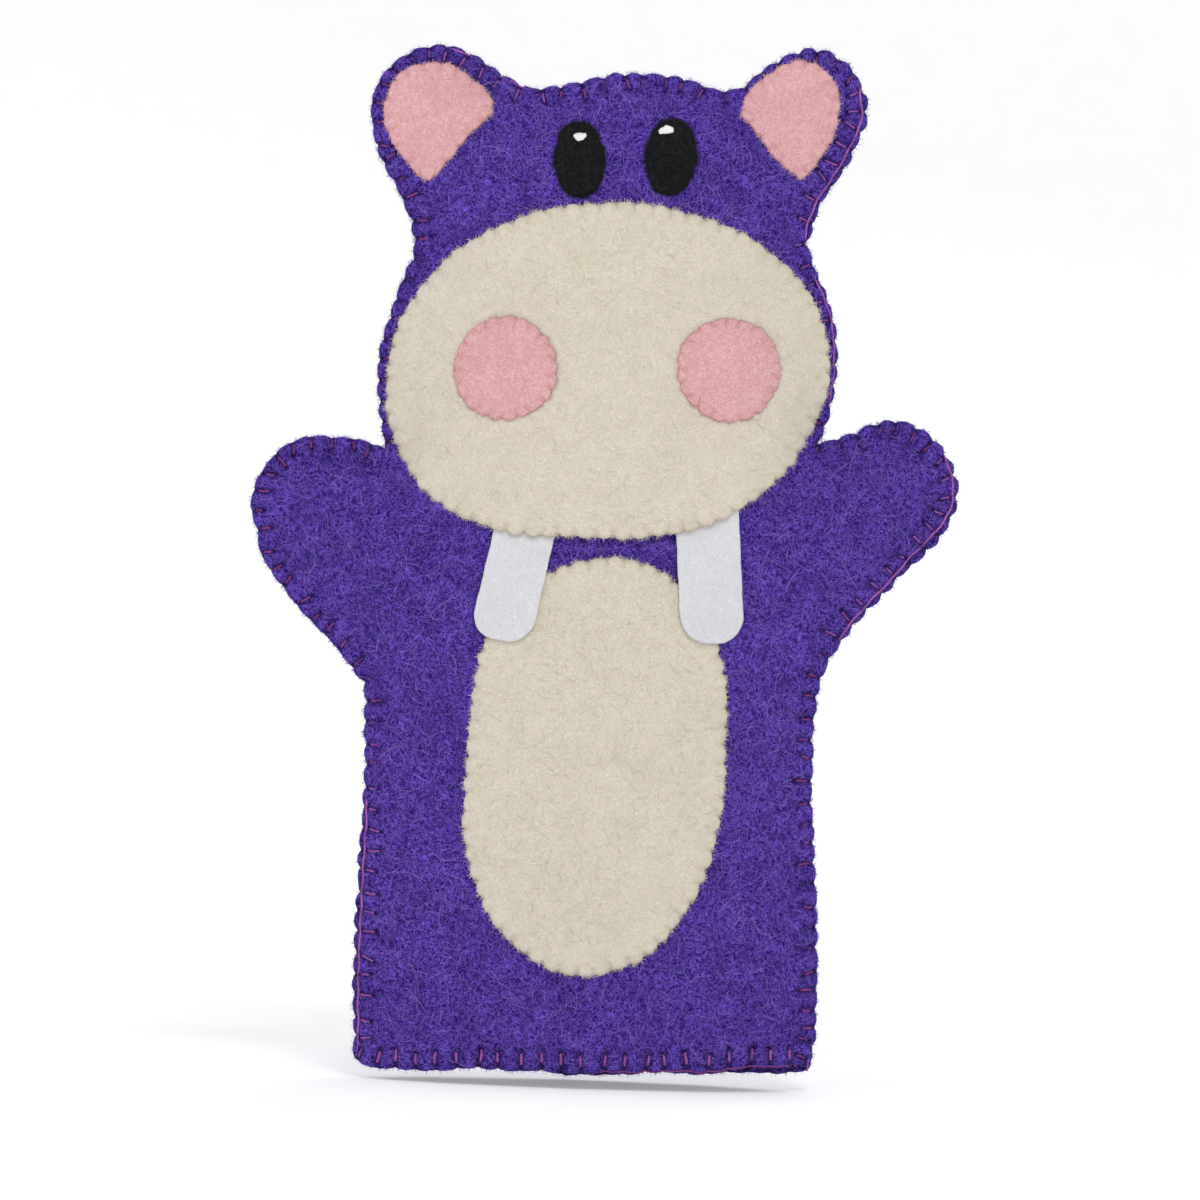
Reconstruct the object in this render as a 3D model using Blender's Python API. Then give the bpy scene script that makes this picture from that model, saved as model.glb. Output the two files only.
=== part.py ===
"""Felt hippo hand puppet: a purple glove of two panels with cream, pink, black and white felt pieces.

The puppet stands along +Z with its head up and its open hem at z = 0. Its face looks along -Y, and the
two panels meet in the plane y = 0. Each big panel is cut where it folds: at the neck, the shoulders and
the ear roots.
"""

import math

import bmesh
import bpy
import numpy as np
from mathutils import Vector
from mathutils.geometry import delaunay_2d_cdt

MM = 0.001

# felt and thread
PANEL_FELT = 2.2
PATCH_FELT = 1.6
TRIM_FELT = 1.2
EYE_FELT = 1.0
GLINT_FELT = 0.5
THREAD = 0.8
GAP = 0.3

# how the glove fills out when it is worn
SEAM_FLANGE = 3.0
PUFF_REACH = 24.0
PUFF_BODY = 19.5
PUFF_HEAD = 3.5
PUFF_ARM = 62.0
PUFF_ARM_SPREAD = 13.0
CELL = 2.0

# triangle sizes
EDGE_STEP = 7.0
LATTICE = 9.5

# the folds: hinge lines and how far each one turns
NECK_Z = 156.0
NOD_FORWARD = 25.0
NOD_BACK = 15.0
ARM_FORWARD = 40.0
ARM_BACK = 20.0
EAR_SWING = 30.0
FOLD_SPARE = 0.5

# outline landmarks, x and z
HEM_HALF = 56.8
HEM_CORNER = 2.5
LEFT_ARMPIT = (-57.5, 94.4)
LEFT_NOTCH = (-54.5, 152.8)
LEFT_EAR_LOW = (-49.6, 210.0)
LEFT_EAR_HIGH = (-21.0, 244.0)
RIGHT_EAR_HIGH = (22.0, 246.3)
RIGHT_EAR_LOW = (48.8, 208.5)
RIGHT_NOTCH = (53.3, 158.0)
RIGHT_ARMPIT = (55.4, 97.2)
LEFT_PAW = (-69.6, 138.0, 17.7)
RIGHT_PAW = (71.0, 146.7, 17.4)
LEFT_EAR = (-44.0, 237.2, 16.9)

# patches: centre x and z, half width and half height
MUZZLE = [
    (55.3, 173.6), (53.5, 188.0), (45.6, 200.1), (34.3, 208.1), (22.3, 212.7), (10.9, 215.0),
    (-0.2, 215.5), (-11.1, 214.3), (-21.9, 211.3), (-32.8, 206.2), (-42.9, 198.2), (-50.6, 187.1),
    (-54.4, 173.6), (-53.4, 159.3), (-47.2, 146.5), (-36.3, 137.5), (-23.5, 133.3), (-11.2, 132.5),
    (-0.2, 132.6), (10.7, 133.0), (22.0, 135.1), (33.2, 140.2), (43.2, 148.5), (51.1, 159.9),
]
BELLY = [
    (32.7, 75.6), (32.6, 84.2), (32.3, 93.9), (30.4, 105.4), (24.6, 117.1), (13.9, 125.2),
    (0.6, 127.3), (-12.2, 123.3), (-22.1, 114.9), (-27.9, 104.1), (-30.2, 93.4), (-30.7, 84.0),
    (-31.1, 75.6), (-31.5, 67.0), (-31.0, 57.3), (-28.3, 46.7), (-22.4, 35.8), (-12.4, 27.2),
    (0.6, 24.2), (13.2, 28.5), (22.4, 37.9), (27.9, 48.3), (30.9, 58.1), (32.3, 67.1),
]
NOSTRIL_RADIUS = 12.8
NOSTRILS = {"left": (-25.0, 173.5), "right": (30.4, 175.1)}
EYES = {"left": (-8.5, 226.3, 6.2, 9.7, 5.0), "right": (14.2, 227.7, 6.3, 9.8, -3.0)}
GLINTS = {"left": (-8.6, 232.0, 1.6, 1.1), "right": (12.8, 234.4, 1.9, 1.1)}

# teeth: centre of the top edge, half widths at top and tip, length, splay in degrees
TEETH = {"left": (-18.5, 135.0, 7.5, 7.7, 29.5, -11.0), "right": (26.4, 135.6, 7.9, 7.9, 28.5, 4.6)}
TOOTH_ROOT_LIFT = 1.5

PURPLE = (0.071, 0.030, 0.262, 1.0)
CREAM = (0.70, 0.63, 0.50, 1.0)
PINK = (0.76, 0.43, 0.44, 1.0)
BLACK = (0.010, 0.010, 0.011, 1.0)
WHITE = (0.80, 0.80, 0.82, 1.0)
PLUM = (0.30, 0.04, 0.25, 1.0)
ECRU = (0.62, 0.50, 0.40, 1.0)
ROSE = (0.62, 0.28, 0.28, 1.0)


def clear_scene():
    for thing in list(bpy.data.objects):
        bpy.data.objects.remove(thing, do_unlink=True)


def make_pivot(name, x, y, z, parent=None):
    """An empty on a fold line. Returns it with its place in millimetres."""
    pivot = bpy.data.objects.new(name, None)
    pivot.empty_display_size = 0.01
    bpy.context.scene.collection.objects.link(pivot)
    at = np.array([x, y, z])
    base = np.zeros(3) if parent is None else parent[1]
    pivot.location = Vector((at - base) * MM)
    if parent is not None:
        pivot.parent = parent[0]
    return pivot, at


def make_material(name, colour, roughness):
    material = bpy.data.materials.new(name)
    material.use_nodes = True
    shader = material.node_tree.nodes["Principled BSDF"]
    shader.inputs["Base Color"].default_value = colour
    shader.inputs["Roughness"].default_value = roughness
    shader.inputs["Metallic"].default_value = 0.0
    material.diffuse_color = colour
    return material


def arc(circle, start, end, count):
    """Points on a circle from one angle to another, in degrees."""
    x, z, radius = circle
    angles = np.radians(np.linspace(start, end, count))
    return [(x + radius * math.cos(a), z + radius * math.sin(a)) for a in angles]


def spaced(points, step, closed=False):
    """A smooth curve through the points, divided into equal steps of about the given length."""
    p = np.array(points, float)
    if closed:
        p = np.vstack([p[-1], p, p[:2]])
    else:
        p = np.vstack([2 * p[0] - p[1], p, 2 * p[-1] - p[-2]])
    fine = []
    for a, b, c, d in zip(p, p[1:], p[2:], p[3:]):
        for t in np.linspace(0, 1, 12, endpoint=False):
            bend = (2 * a - 5 * b + 4 * c - d) * t * t + (3 * b - a - 3 * c + d) * t**3
            fine.append(0.5 * (2 * b + (c - a) * t + bend))
    fine.append(p[-2])
    fine = np.array(fine)
    along = np.concatenate([[0], np.cumsum(np.hypot(*np.diff(fine, axis=0).T))])
    count = max(2, round(along[-1] / step))
    at = np.linspace(0, along[-1], count + 1)[: count if closed else None]
    return np.stack([np.interp(at, along, fine[:, k]) for k in (0, 1)], axis=1)


def outline_strokes(step):
    """The silhouette as named strokes that run clockwise from the left end of the hem."""
    corner_left = (-HEM_HALF + HEM_CORNER, HEM_CORNER, HEM_CORNER)
    corner_right = (HEM_HALF - HEM_CORNER, HEM_CORNER, HEM_CORNER)
    left_side = [(-57.6, 20), (-57.3, 50), (-56.6, 72), LEFT_ARMPIT]
    right_side = [RIGHT_ARMPIT, (54.6, 86), (54.9, 68), (56.9, 42), (57.8, 16)]
    left_arm = [LEFT_ARMPIT, (-66.6, 104.6), (-76.8, 115), (-84.2, 125.2)]
    left_arm += arc(LEFT_PAW, 205, 80, 7)
    left_arm += [(-59.6, 154.5), LEFT_NOTCH]
    right_arm = [RIGHT_NOTCH, (60.6, 159.9)]
    right_arm += arc(RIGHT_PAW, 92, -40, 7)
    right_arm += [(74.1, 124.7), (65.4, 114.9), (59, 105.9), RIGHT_ARMPIT]
    left_cheek = [LEFT_NOTCH, (-56.1, 164), (-56.8, 175), (-53.3, 190), (-49, 202), LEFT_EAR_LOW]
    right_cheek = [RIGHT_EAR_LOW, (51.7, 200), (56.1, 189.5), (57.3, 176), (55.6, 165), RIGHT_NOTCH]
    left_ear = [LEFT_EAR_LOW, (-53.4, 217.6), (-57.8, 225.6)]
    left_ear += arc(LEFT_EAR, 190, 55, 7)
    left_ear += [(-28.5, 247.2), LEFT_EAR_HIGH]
    right_ear = [RIGHT_EAR_HIGH, (26.5, 245.2), (31.7, 246.2), (36.9, 250.9), (42, 254)]
    right_ear += [(47.8, 256), (54.1, 255), (59.4, 250.6), (62.1, 244.1), (62.1, 237.5)]
    right_ear += [(57.2, 226.8), (51.7, 217.5), RIGHT_EAR_LOW]
    crown = [LEFT_EAR_HIGH, (-13, 245.1), (-3, 247.6), (7, 248.7), (15, 248), RIGHT_EAR_HIGH]
    strokes = {
        "side_left": arc(corner_left, 270, 180, 4) + left_side,
        "arm_left": left_arm,
        "cheek_left": left_cheek,
        "ear_left": left_ear,
        "crown": crown,
        "ear_right": right_ear,
        "cheek_right": right_cheek,
        "arm_right": right_arm,
        "side_right": right_side + arc(corner_right, 0, -90, 4),
    }
    made = {name: spaced(points, step) for name, points in strokes.items()}
    made["hem"] = spaced([(HEM_HALF - HEM_CORNER, 0), (-HEM_HALF + HEM_CORNER, 0)], step)
    return made


def whole_outline(step):
    strokes = outline_strokes(step)
    return np.vstack([stroke[:-1] for stroke in strokes.values()])


def inside(points, ring):
    """Which points lie in the closed ring."""
    x, z = points[:, 0], points[:, 1]
    found = np.zeros(len(points), bool)
    for a, b in zip(ring, np.roll(ring, -1, axis=0)):
        crosses = (a[1] > z) != (b[1] > z)
        if crosses.any():
            at = a[0] + (z - a[1]) * (b[0] - a[0]) / (b[1] - a[1] + 1e-30)
            found ^= crosses & (x < at)
    return found


def distance(points, line):
    """Distance from each point to an open line."""
    best = np.full(len(points), 1e9)
    for a, b in zip(line, line[1:]):
        d = b - a
        t = np.clip(((points - a) @ d) / (d @ d + 1e-30), 0, 1)
        best = np.minimum(best, np.hypot(*(points - a - t[:, None] * d).T))
    return best


def puff_grid():
    """How far each panel stands off the seam plane, as a sheet held at the seam and open at the hem."""
    ring = whole_outline(4.0)
    xs = np.arange(-96, 97, CELL)
    zs = np.arange(-30, 265, CELL)
    gx, gz = np.meshgrid(xs, zs)
    flat = np.stack([gx.ravel(), np.maximum(gz.ravel(), 12.0)], axis=1)
    closed = np.vstack([ring, ring[:1]])
    far = distance(flat, closed)
    hem_free = flat[:, 1] <= 16
    far = np.where(hem_free, HEM_HALF + 1.2 - np.abs(flat[:, 0]), far)
    free = (inside(flat, ring) & (far > SEAM_FLANGE)).reshape(gx.shape)
    push = PUFF_BODY + PUFF_HEAD * np.exp(-(((gx - 1) / 45) ** 2) - ((gz - 185) / 38) ** 2)
    for x, z, _ in (LEFT_PAW, RIGHT_PAW):
        near = ((gx - 0.93 * x) ** 2 + (gz - z + 3) ** 2) / PUFF_ARM_SPREAD**2
        push = push + PUFF_ARM * np.exp(-near)
    height = np.zeros(gx.shape)
    k = (PUFF_REACH / CELL) ** 2
    for _ in range(1500):
        padded = np.pad(height, 1, mode="edge")
        around = padded[:-2, 1:-1] + padded[2:, 1:-1] + padded[1:-1, :-2] + padded[1:-1, 2:]
        height = np.where(free, (push + k * around) / (1 + 4 * k), 0.0)
    for _ in range(5):
        padded = np.pad(height, 1, mode="edge")
        around = padded[:-2, 1:-1] + padded[2:, 1:-1] + padded[1:-1, :-2] + padded[1:-1, 2:]
        height = 0.5 * height + 0.125 * around
    return xs, zs, height


def puff_at(points):
    xs, zs, height = PUFF
    u = np.clip((points[:, 0] - xs[0]) / CELL, 0, len(xs) - 1.001)
    v = np.clip((points[:, 1] - zs[0]) / CELL, 0, len(zs) - 1.001)
    i, j = u.astype(int), v.astype(int)
    a, b = u - i, v - j
    low = height[j, i] * (1 - a) + height[j, i + 1] * a
    high = height[j + 1, i] * (1 - a) + height[j + 1, i + 1] * a
    return low * (1 - b) + high * b


def fold_edges(start, end, swing, count):
    """The two cut edges beside a fold, far enough apart to let it swing. The first lies to the left of
    the way from start to end."""
    start, end = np.array(start), np.array(end)
    line = start + np.linspace(0, 1, count)[:, None] * (end - start)
    way = (end - start) / np.hypot(*(end - start))
    side = np.array([-way[1], way[0]])
    deep = puff_at(line) + PANEL_FELT + GAP / 2
    clear = deep * math.tan(math.radians(swing / 2)) + FOLD_SPARE
    return line + clear[:, None] * side, line - clear[:, None] * side


def ellipse(centre_x, centre_z, half_x, half_z, turn, step):
    """A closed oval."""
    count = max(8, round(math.pi * (half_x + half_z) / step))
    a = np.linspace(0, 2 * math.pi, count, endpoint=False)
    x, z, t = half_x * np.cos(a), half_z * np.sin(a), math.radians(turn)
    turned = [x * math.cos(t) - z * math.sin(t), x * math.sin(t) + z * math.cos(t)]
    return np.stack([centre_x + turned[0], centre_z + turned[1]], axis=1)


def grown(ring, amount):
    """The closed ring moved outward along its normals."""
    ahead = np.roll(ring, -1, axis=0) - np.roll(ring, 1, axis=0)
    ahead /= np.hypot(*ahead.T)[:, None]
    normal = np.stack([ahead[:, 1], -ahead[:, 0]], axis=1)
    area = np.sum(ring[:, 0] * np.roll(ring[:, 1], -1) - np.roll(ring[:, 0], -1) * ring[:, 1])
    return ring + normal * amount * np.sign(area)


def tooth_ring(side):
    """A tab with straight sides and a rounded tip, splayed about its top edge."""
    x, z, top, tip, length, splay = TEETH[side]
    corner = 5.0
    right = [(top, 0), (tip, -length * 0.5), (tip, -length + corner)]
    end = arc((tip - corner, -length + corner, corner), 0, -90, 4)[1:]
    other = arc((corner - tip, -length + corner, corner), 270, 180, 4)
    shape = np.array(right + end + other + [(-tip, -length * 0.5), (-top, 0)])
    t = math.radians(splay)
    turned_x = shape[:, 0] * math.cos(t) - shape[:, 1] * math.sin(t)
    turned_z = shape[:, 0] * math.sin(t) + shape[:, 1] * math.cos(t)
    return np.stack([x + turned_x, z + turned_z], axis=1)


def ear_patch_ring(side):
    """A fan with a straight edge on each side of its low point, and a rounded top."""
    if side == "left":
        points = [(-45.6, 220.9), (-37.6, 229.8), (-31.0, 237.6)]
        top = [(-31.0, 237.6), (-33.0, 243.4), (-38.4, 248.2), (-46, 249.4), (-53.6, 247.4)]
        back = [(-53.6, 247.4), (-57.2, 243), (-57.6, 236), (-54.0, 227.6), (-49.4, 222.2)]
    else:
        points = [(45.4, 224.4), (38.4, 230.6), (31.8, 238.4)]
        top = [(31.8, 238.4), (33.6, 245.2), (39.4, 250.8), (45.6, 253.2), (51.4, 251.2)]
        back = [(51.4, 251.2), (55.2, 246.4), (55.9, 240), (53.8, 233), (49.6, 226.8)]
    low = spaced(points, 4.5)
    high = spaced(top + back[1:], 4.5)
    return np.vstack([low[:-1], high])


def triangulate(rings, lines):
    """One flat net of triangles that keeps every ring and line as edges."""
    points, edges = [], []
    keep_clear = []
    for ring in rings:
        first = len(points)
        points += [tuple(p) for p in ring]
        edges += [(first + k, first + (k + 1) % len(ring)) for k in range(len(ring))]
        keep_clear.append(np.vstack([ring, ring[:1]]))
    for line in lines:
        first = len(points)
        points += [tuple(p) for p in line]
        edges += [(first + k, first + k + 1) for k in range(len(line) - 1)]
        keep_clear.append(line)
    rows = []
    for j, z in enumerate(np.arange(LATTICE / 2, 262, LATTICE * 0.866)):
        for x in np.arange(-95 + (j % 2) * LATTICE / 2, 96, LATTICE):
            rows.append((x, z))
    lattice = np.array(rows)
    lattice = lattice[inside(lattice, whole_outline(EDGE_STEP))]
    for line in keep_clear:
        lattice = lattice[distance(lattice, line) > 0.42 * LATTICE]
    points += [tuple(p) for p in lattice]
    flat = [Vector(p) for p in points]
    verts, _, faces, _, _, _ = delaunay_2d_cdt(flat, edges, [], 0, 1e-4, False)
    verts = np.array([(v.x, v.y) for v in verts])
    faces = np.array([f for f in faces if len(f) == 3])
    return verts, faces


def hang(thing, pivot):
    """Link an object to the scene and hang it on its pivot, if it has one."""
    bpy.context.scene.collection.objects.link(thing)
    if pivot is not None:
        thing.parent = pivot[0]


def slab(name, net, ring, low, high, face, material, pivot):
    """A felt piece: the net's triangles inside the ring, between two heights above the seam plane.

    low and high give heights for an array of points. face is -1 for the front and 1 for the back.
    """
    verts, faces = net
    middle = verts[faces].mean(axis=1)
    chosen = faces[inside(middle, ring)]
    used, flat = np.unique(chosen, return_inverse=True)
    flat = flat.reshape(chosen.shape)
    at = verts[used]
    corners = verts[chosen]
    ab, ac = corners[:, 1] - corners[:, 0], corners[:, 2] - corners[:, 0]
    turn = ab[:, 0] * ac[:, 1] - ab[:, 1] * ac[:, 0]
    flat[turn < 0] = flat[turn < 0][:, ::-1]
    count = len(at)
    base = np.zeros(3) if pivot is None else pivot[1]
    outer = np.stack([at[:, 0], face * high(at), at[:, 1]], axis=1)
    inner = np.stack([at[:, 0], face * low(at), at[:, 1]], axis=1)
    points = (np.vstack([outer, inner]) - base) * MM
    sides = {}
    for tri in flat:
        for a, b in zip(tri, np.roll(tri, -1)):
            sides[(a, b)] = True
    rim = [(a, b) for a, b in sides if (b, a) not in sides]
    shell = [tuple(tri) for tri in flat]
    shell += [tuple(count + k for k in tri[::-1]) for tri in flat]
    shell += [(b, a, count + a, count + b) for a, b in rim]
    mesh = bpy.data.meshes.new(name)
    mesh.from_pydata(points.tolist(), [], [tuple(int(k) for k in polygon) for polygon in shell])
    body = bmesh.new()
    body.from_mesh(mesh)
    bmesh.ops.recalc_face_normals(body, faces=body.faces)
    body.to_mesh(mesh)
    body.free()
    mesh.shade_smooth()
    mesh.set_sharp_from_angle(angle=math.radians(40))
    mesh.materials.append(material)
    hang(bpy.data.objects.new(name, mesh), pivot)


def thread(name, points, material, closed, pivot):
    """A round thread along the points."""
    curve = bpy.data.curves.new(name, "CURVE")
    curve.dimensions = "3D"
    curve.bevel_depth = THREAD / 2 * MM
    curve.bevel_resolution = 1
    curve.use_fill_caps = True
    spline = curve.splines.new("POLY")
    spline.points.add(len(points) - 1)
    base = np.zeros(3) if pivot is None else pivot[1]
    for point, p in zip(spline.points, (np.array(points) - base) * MM):
        point.co = (*p, 1.0)
    spline.use_cyclic_u = closed
    curve.materials.append(material)
    hang(bpy.data.objects.new(name, curve), pivot)


def above(base):
    """A height function: the puffed panel plus a fixed distance."""
    return lambda p: puff_at(p) + base


def on_surface(ring, base, face=-1):
    return [(p[0], face * (h + base), p[1]) for p, h in zip(ring, puff_at(ring))]


def seam_path(stroke, ends):
    """A path just outside a stroke of the outline, stopping short of each end."""
    ahead = np.gradient(stroke, axis=0)
    ahead /= np.hypot(*ahead.T)[:, None]
    out = stroke + np.stack([-ahead[:, 1], ahead[:, 0]], axis=1) * (THREAD / 2 + GAP + 0.05)
    out[0] += ahead[0] * ends
    out[-1] -= ahead[-1] * ends
    return [(p[0], 0.0, p[1]) for p in out]


def trimmed(stroke, trim):
    """The stroke with its two ends drawn in along itself."""
    stroke = stroke.copy()
    for end, near in ((0, 1), (-1, -2)):
        way = stroke[near] - stroke[end]
        stroke[end] = stroke[end] + way / np.hypot(*way) * trim
    return stroke


def panel_rings(neck_swing, arm_swing, strokes):
    """Closed outlines of the torso, head, arms and ears of one big panel, cut apart at the folds."""
    neck_points = 15
    neck_low, neck_high = [], []
    for x in np.linspace(-50, 49.5, neck_points):
        deep = puff_at(np.array([[x, NECK_Z]]))[0] + PANEL_FELT + GAP / 2
        clear = deep * math.tan(math.radians(neck_swing / 2)) + FOLD_SPARE
        neck_low.append((x, NECK_Z - clear))
        neck_high.append((x, NECK_Z + clear))
    neck_low, neck_high = np.array(neck_low), np.array(neck_high)
    left_out, left_in = fold_edges(LEFT_ARMPIT, LEFT_NOTCH, arm_swing, 9)
    right_in, right_out = fold_edges(RIGHT_ARMPIT, RIGHT_NOTCH, arm_swing, 9)
    ear_left_out, ear_left_in = fold_edges(LEFT_EAR_LOW, LEFT_EAR_HIGH, EAR_SWING, 7)
    ear_right_out, ear_right_in = fold_edges(RIGHT_EAR_HIGH, RIGHT_EAR_LOW, EAR_SWING, 7)
    short = {name: trimmed(stroke, 1.2) for name, stroke in strokes.items()}
    rings = {}
    rings["torso"] = np.vstack([
        strokes["side_left"][:-1],
        left_in[:-1],
        neck_low[1:-1],
        right_in[:-1][::-1],
        strokes["side_right"][1:],
        strokes["hem"][1:-1],
    ])
    rings["arm_left"] = np.vstack([short["arm_left"], left_out[1:-1][::-1]])
    rings["arm_right"] = np.vstack([short["arm_right"], right_out[1:-1]])
    rings["ear_left"] = np.vstack([short["ear_left"], ear_left_out[1:-1][::-1]])
    rings["ear_right"] = np.vstack([short["ear_right"], ear_right_out[1:-1][::-1]])
    rings["head"] = np.vstack([
        short["cheek_left"][1:],
        ear_left_in[1:-1],
        short["crown"],
        ear_right_in[1:-1],
        short["cheek_right"][:-1],
        neck_high[::-1],
    ])
    return rings


clear_scene()
PUFF = puff_grid()

purple = make_material("purple_felt", PURPLE, 0.95)
cream = make_material("cream_felt", CREAM, 0.95)
pink = make_material("pink_felt", PINK, 0.95)
black = make_material("black_felt", BLACK, 0.9)
white = make_material("white_felt", WHITE, 0.9)
plum_thread = make_material("plum_thread", PLUM, 0.6)
ecru_thread = make_material("ecru_thread", ECRU, 0.6)
rose_thread = make_material("rose_thread", ROSE, 0.6)

strokes = outline_strokes(EDGE_STEP)
front = panel_rings(NOD_FORWARD, ARM_FORWARD, strokes)
back = panel_rings(NOD_BACK, ARM_BACK, strokes)

muzzle = spaced(MUZZLE, EDGE_STEP, closed=True)
belly = spaced(BELLY, EDGE_STEP, closed=True)
nostrils = {s: ellipse(x, z, NOSTRIL_RADIUS, NOSTRIL_RADIUS, 0, 5.0) for s, (x, z) in NOSTRILS.items()}
eyes = {s: ellipse(x, z, a, b, turn, 4.2) for s, (x, z, a, b, turn) in EYES.items()}
glints = {s: ellipse(x, z, a, b, 0, 1.2) for s, (x, z, a, b) in GLINTS.items()}
teeth = {s: tooth_ring(s) for s in TEETH}
ear_patches = {s: ear_patch_ring(s) for s in ("left", "right")}

patches = [muzzle, belly, *nostrils.values(), *eyes.values(), *glints.values()]
muzzle_seam = grown(muzzle, -1.6)
patches += [*teeth.values(), *ear_patches.values(), muzzle_seam]
front_net = triangulate(list(front.values()) + patches, [])
back_net = triangulate(list(back.values()), [])

INNER = GAP / 2
OUTER = INNER + PANEL_FELT
PATCH_LOW = OUTER + GAP
PATCH_HIGH = PATCH_LOW + PATCH_FELT
NOSTRIL_LOW = PATCH_HIGH + GAP
STITCH = GAP + 0.05 + THREAD / 2


def halfway(start, end):
    return (start[0] + end[0]) / 2, 0.0, (start[1] + end[1]) / 2


neck = make_pivot("neck", 0.0, 0.0, NECK_Z)
pivots = {
    "torso": None,
    "head": neck,
    "arm_left": make_pivot("shoulder_left", *halfway(LEFT_ARMPIT, LEFT_NOTCH)),
    "arm_right": make_pivot("shoulder_right", *halfway(RIGHT_ARMPIT, RIGHT_NOTCH)),
    "ear_left": make_pivot("ear_root_left", *halfway(LEFT_EAR_LOW, LEFT_EAR_HIGH), neck),
    "ear_right": make_pivot("ear_root_right", *halfway(RIGHT_EAR_LOW, RIGHT_EAR_HIGH), neck),
}
for side, (x, z, *_) in TEETH.items():
    root = -puff_at(np.array([[x, z]]))[0] - PATCH_LOW
    pivots[f"tooth_{side}"] = make_pivot(f"tooth_root_{side}", x, root, z)


def root_lift(points):
    """The muzzle rides up over the roots of the teeth."""
    across = np.clip((40 - np.abs(points[:, 0] - 4)) / 8, 0, 1)
    up = np.clip((158 - points[:, 1]) / 16, 0, 1)
    return TOOTH_ROOT_LIFT * across * up


def muzzle_height(base):
    return lambda p: puff_at(p) + base + root_lift(p)


def tooth_height(base):
    """A tooth runs under the muzzle at its root and over the belly patch lower down."""
    return lambda p: puff_at(p) + base + 1.95 * np.clip((133 - p[:, 1]) / 6, 0, 1)


def front_felt(name, ring, low, thickness, material, pivot, height=above):
    slab(name, front_net, ring, height(low), height(low + thickness), -1, material, pivot)


def ring_thread(name, ring, base, material, pivot):
    """Stitching round a felt piece, lying on what the piece is sewn to."""
    thread(name, on_surface(grown(ring, 0.85), base + STITCH), material, True, pivot)


for region, ring in front.items():
    front_felt(f"front_{region}_panel", ring, INNER, PANEL_FELT, purple, pivots[region])
for region, ring in back.items():
    low, high = above(INNER), above(OUTER)
    slab(f"back_{region}_panel", back_net, ring, low, high, 1, purple, pivots[region])

front_felt("belly_patch", belly, PATCH_LOW, PATCH_FELT, cream, None)
ring_thread("belly_stitching", belly, OUTER, ecru_thread, None)

front_felt("muzzle_patch", muzzle, PATCH_LOW, PATCH_FELT, cream, neck, muzzle_height)
over = muzzle_height(PATCH_HIGH + STITCH + 0.1)(muzzle_seam)
path = np.stack([muzzle_seam[:, 0], -over, muzzle_seam[:, 1]], axis=1)
thread("muzzle_stitching", path, ecru_thread, True, neck)

for side in ("left", "right"):
    front_felt(f"nostril_{side}", nostrils[side], NOSTRIL_LOW, TRIM_FELT, pink, neck)
    ring_thread(f"nostril_stitching_{side}", nostrils[side], PATCH_HIGH, rose_thread, neck)

    ear = pivots[f"ear_{side}"]
    front_felt(f"ear_patch_{side}", ear_patches[side], PATCH_LOW, TRIM_FELT, pink, ear)
    ring_thread(f"ear_patch_stitching_{side}", ear_patches[side], OUTER, rose_thread, ear)

    front_felt(f"eye_{side}", eyes[side], PATCH_LOW, EYE_FELT, black, neck)
    low = PATCH_LOW + EYE_FELT + GAP
    front_felt(f"eye_glint_{side}", glints[side], low, GLINT_FELT, white, neck)

    root = pivots[f"tooth_{side}"]
    front_felt(f"tooth_{side}", teeth[side], PATCH_LOW, TRIM_FELT, white, root, tooth_height)

seams = [("side", None), ("arm", None), ("cheek", neck), ("ear", None)]
for side in ("left", "right"):
    for part, pivot in seams:
        pivot = pivots.get(f"{part}_{side}", pivot)
        ends = 2.6 if part in ("arm", "cheek") else 1.5
        path = seam_path(strokes[f"{part}_{side}"], ends)
        thread(f"{part}_seam_thread_{side}", path, plum_thread, False, pivot)
thread("crown_seam_thread", seam_path(strokes["crown"], 1.5), plum_thread, False, neck)

hem_x = np.linspace(-HEM_HALF + 2.5, HEM_HALF - 2.5, 27)
hem = np.stack([hem_x, np.full(27, 2.6)], axis=1)
for name, face in (("front", -1), ("back", 1)):
    path = on_surface(hem, OUTER + STITCH + 0.05, face)
    thread(f"{name}_hem_stitching", path, plum_thread, False, None)
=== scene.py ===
import math

import bpy
import numpy as np
from mathutils import Matrix, Vector
from mathutils.geometry import delaunay_2d_cdt


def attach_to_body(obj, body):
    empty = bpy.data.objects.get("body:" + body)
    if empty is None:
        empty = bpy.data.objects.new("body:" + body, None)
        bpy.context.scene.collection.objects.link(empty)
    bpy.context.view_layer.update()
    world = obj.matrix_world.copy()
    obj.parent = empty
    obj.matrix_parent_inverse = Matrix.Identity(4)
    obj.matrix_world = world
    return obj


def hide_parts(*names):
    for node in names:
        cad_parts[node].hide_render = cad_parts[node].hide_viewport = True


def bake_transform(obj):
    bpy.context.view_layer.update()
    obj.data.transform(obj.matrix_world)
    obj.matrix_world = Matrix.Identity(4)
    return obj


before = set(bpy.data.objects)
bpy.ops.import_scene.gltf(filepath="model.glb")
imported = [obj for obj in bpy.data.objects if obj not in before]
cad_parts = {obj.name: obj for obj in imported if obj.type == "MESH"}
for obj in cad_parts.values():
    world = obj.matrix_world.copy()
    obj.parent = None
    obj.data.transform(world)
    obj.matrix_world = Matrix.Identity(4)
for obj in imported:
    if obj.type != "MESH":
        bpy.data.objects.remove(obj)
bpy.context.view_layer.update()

MM = 0.001
rng = np.random.default_rng(41)

# ---------------------------------------------------------------- sizes, in millimetres

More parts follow.
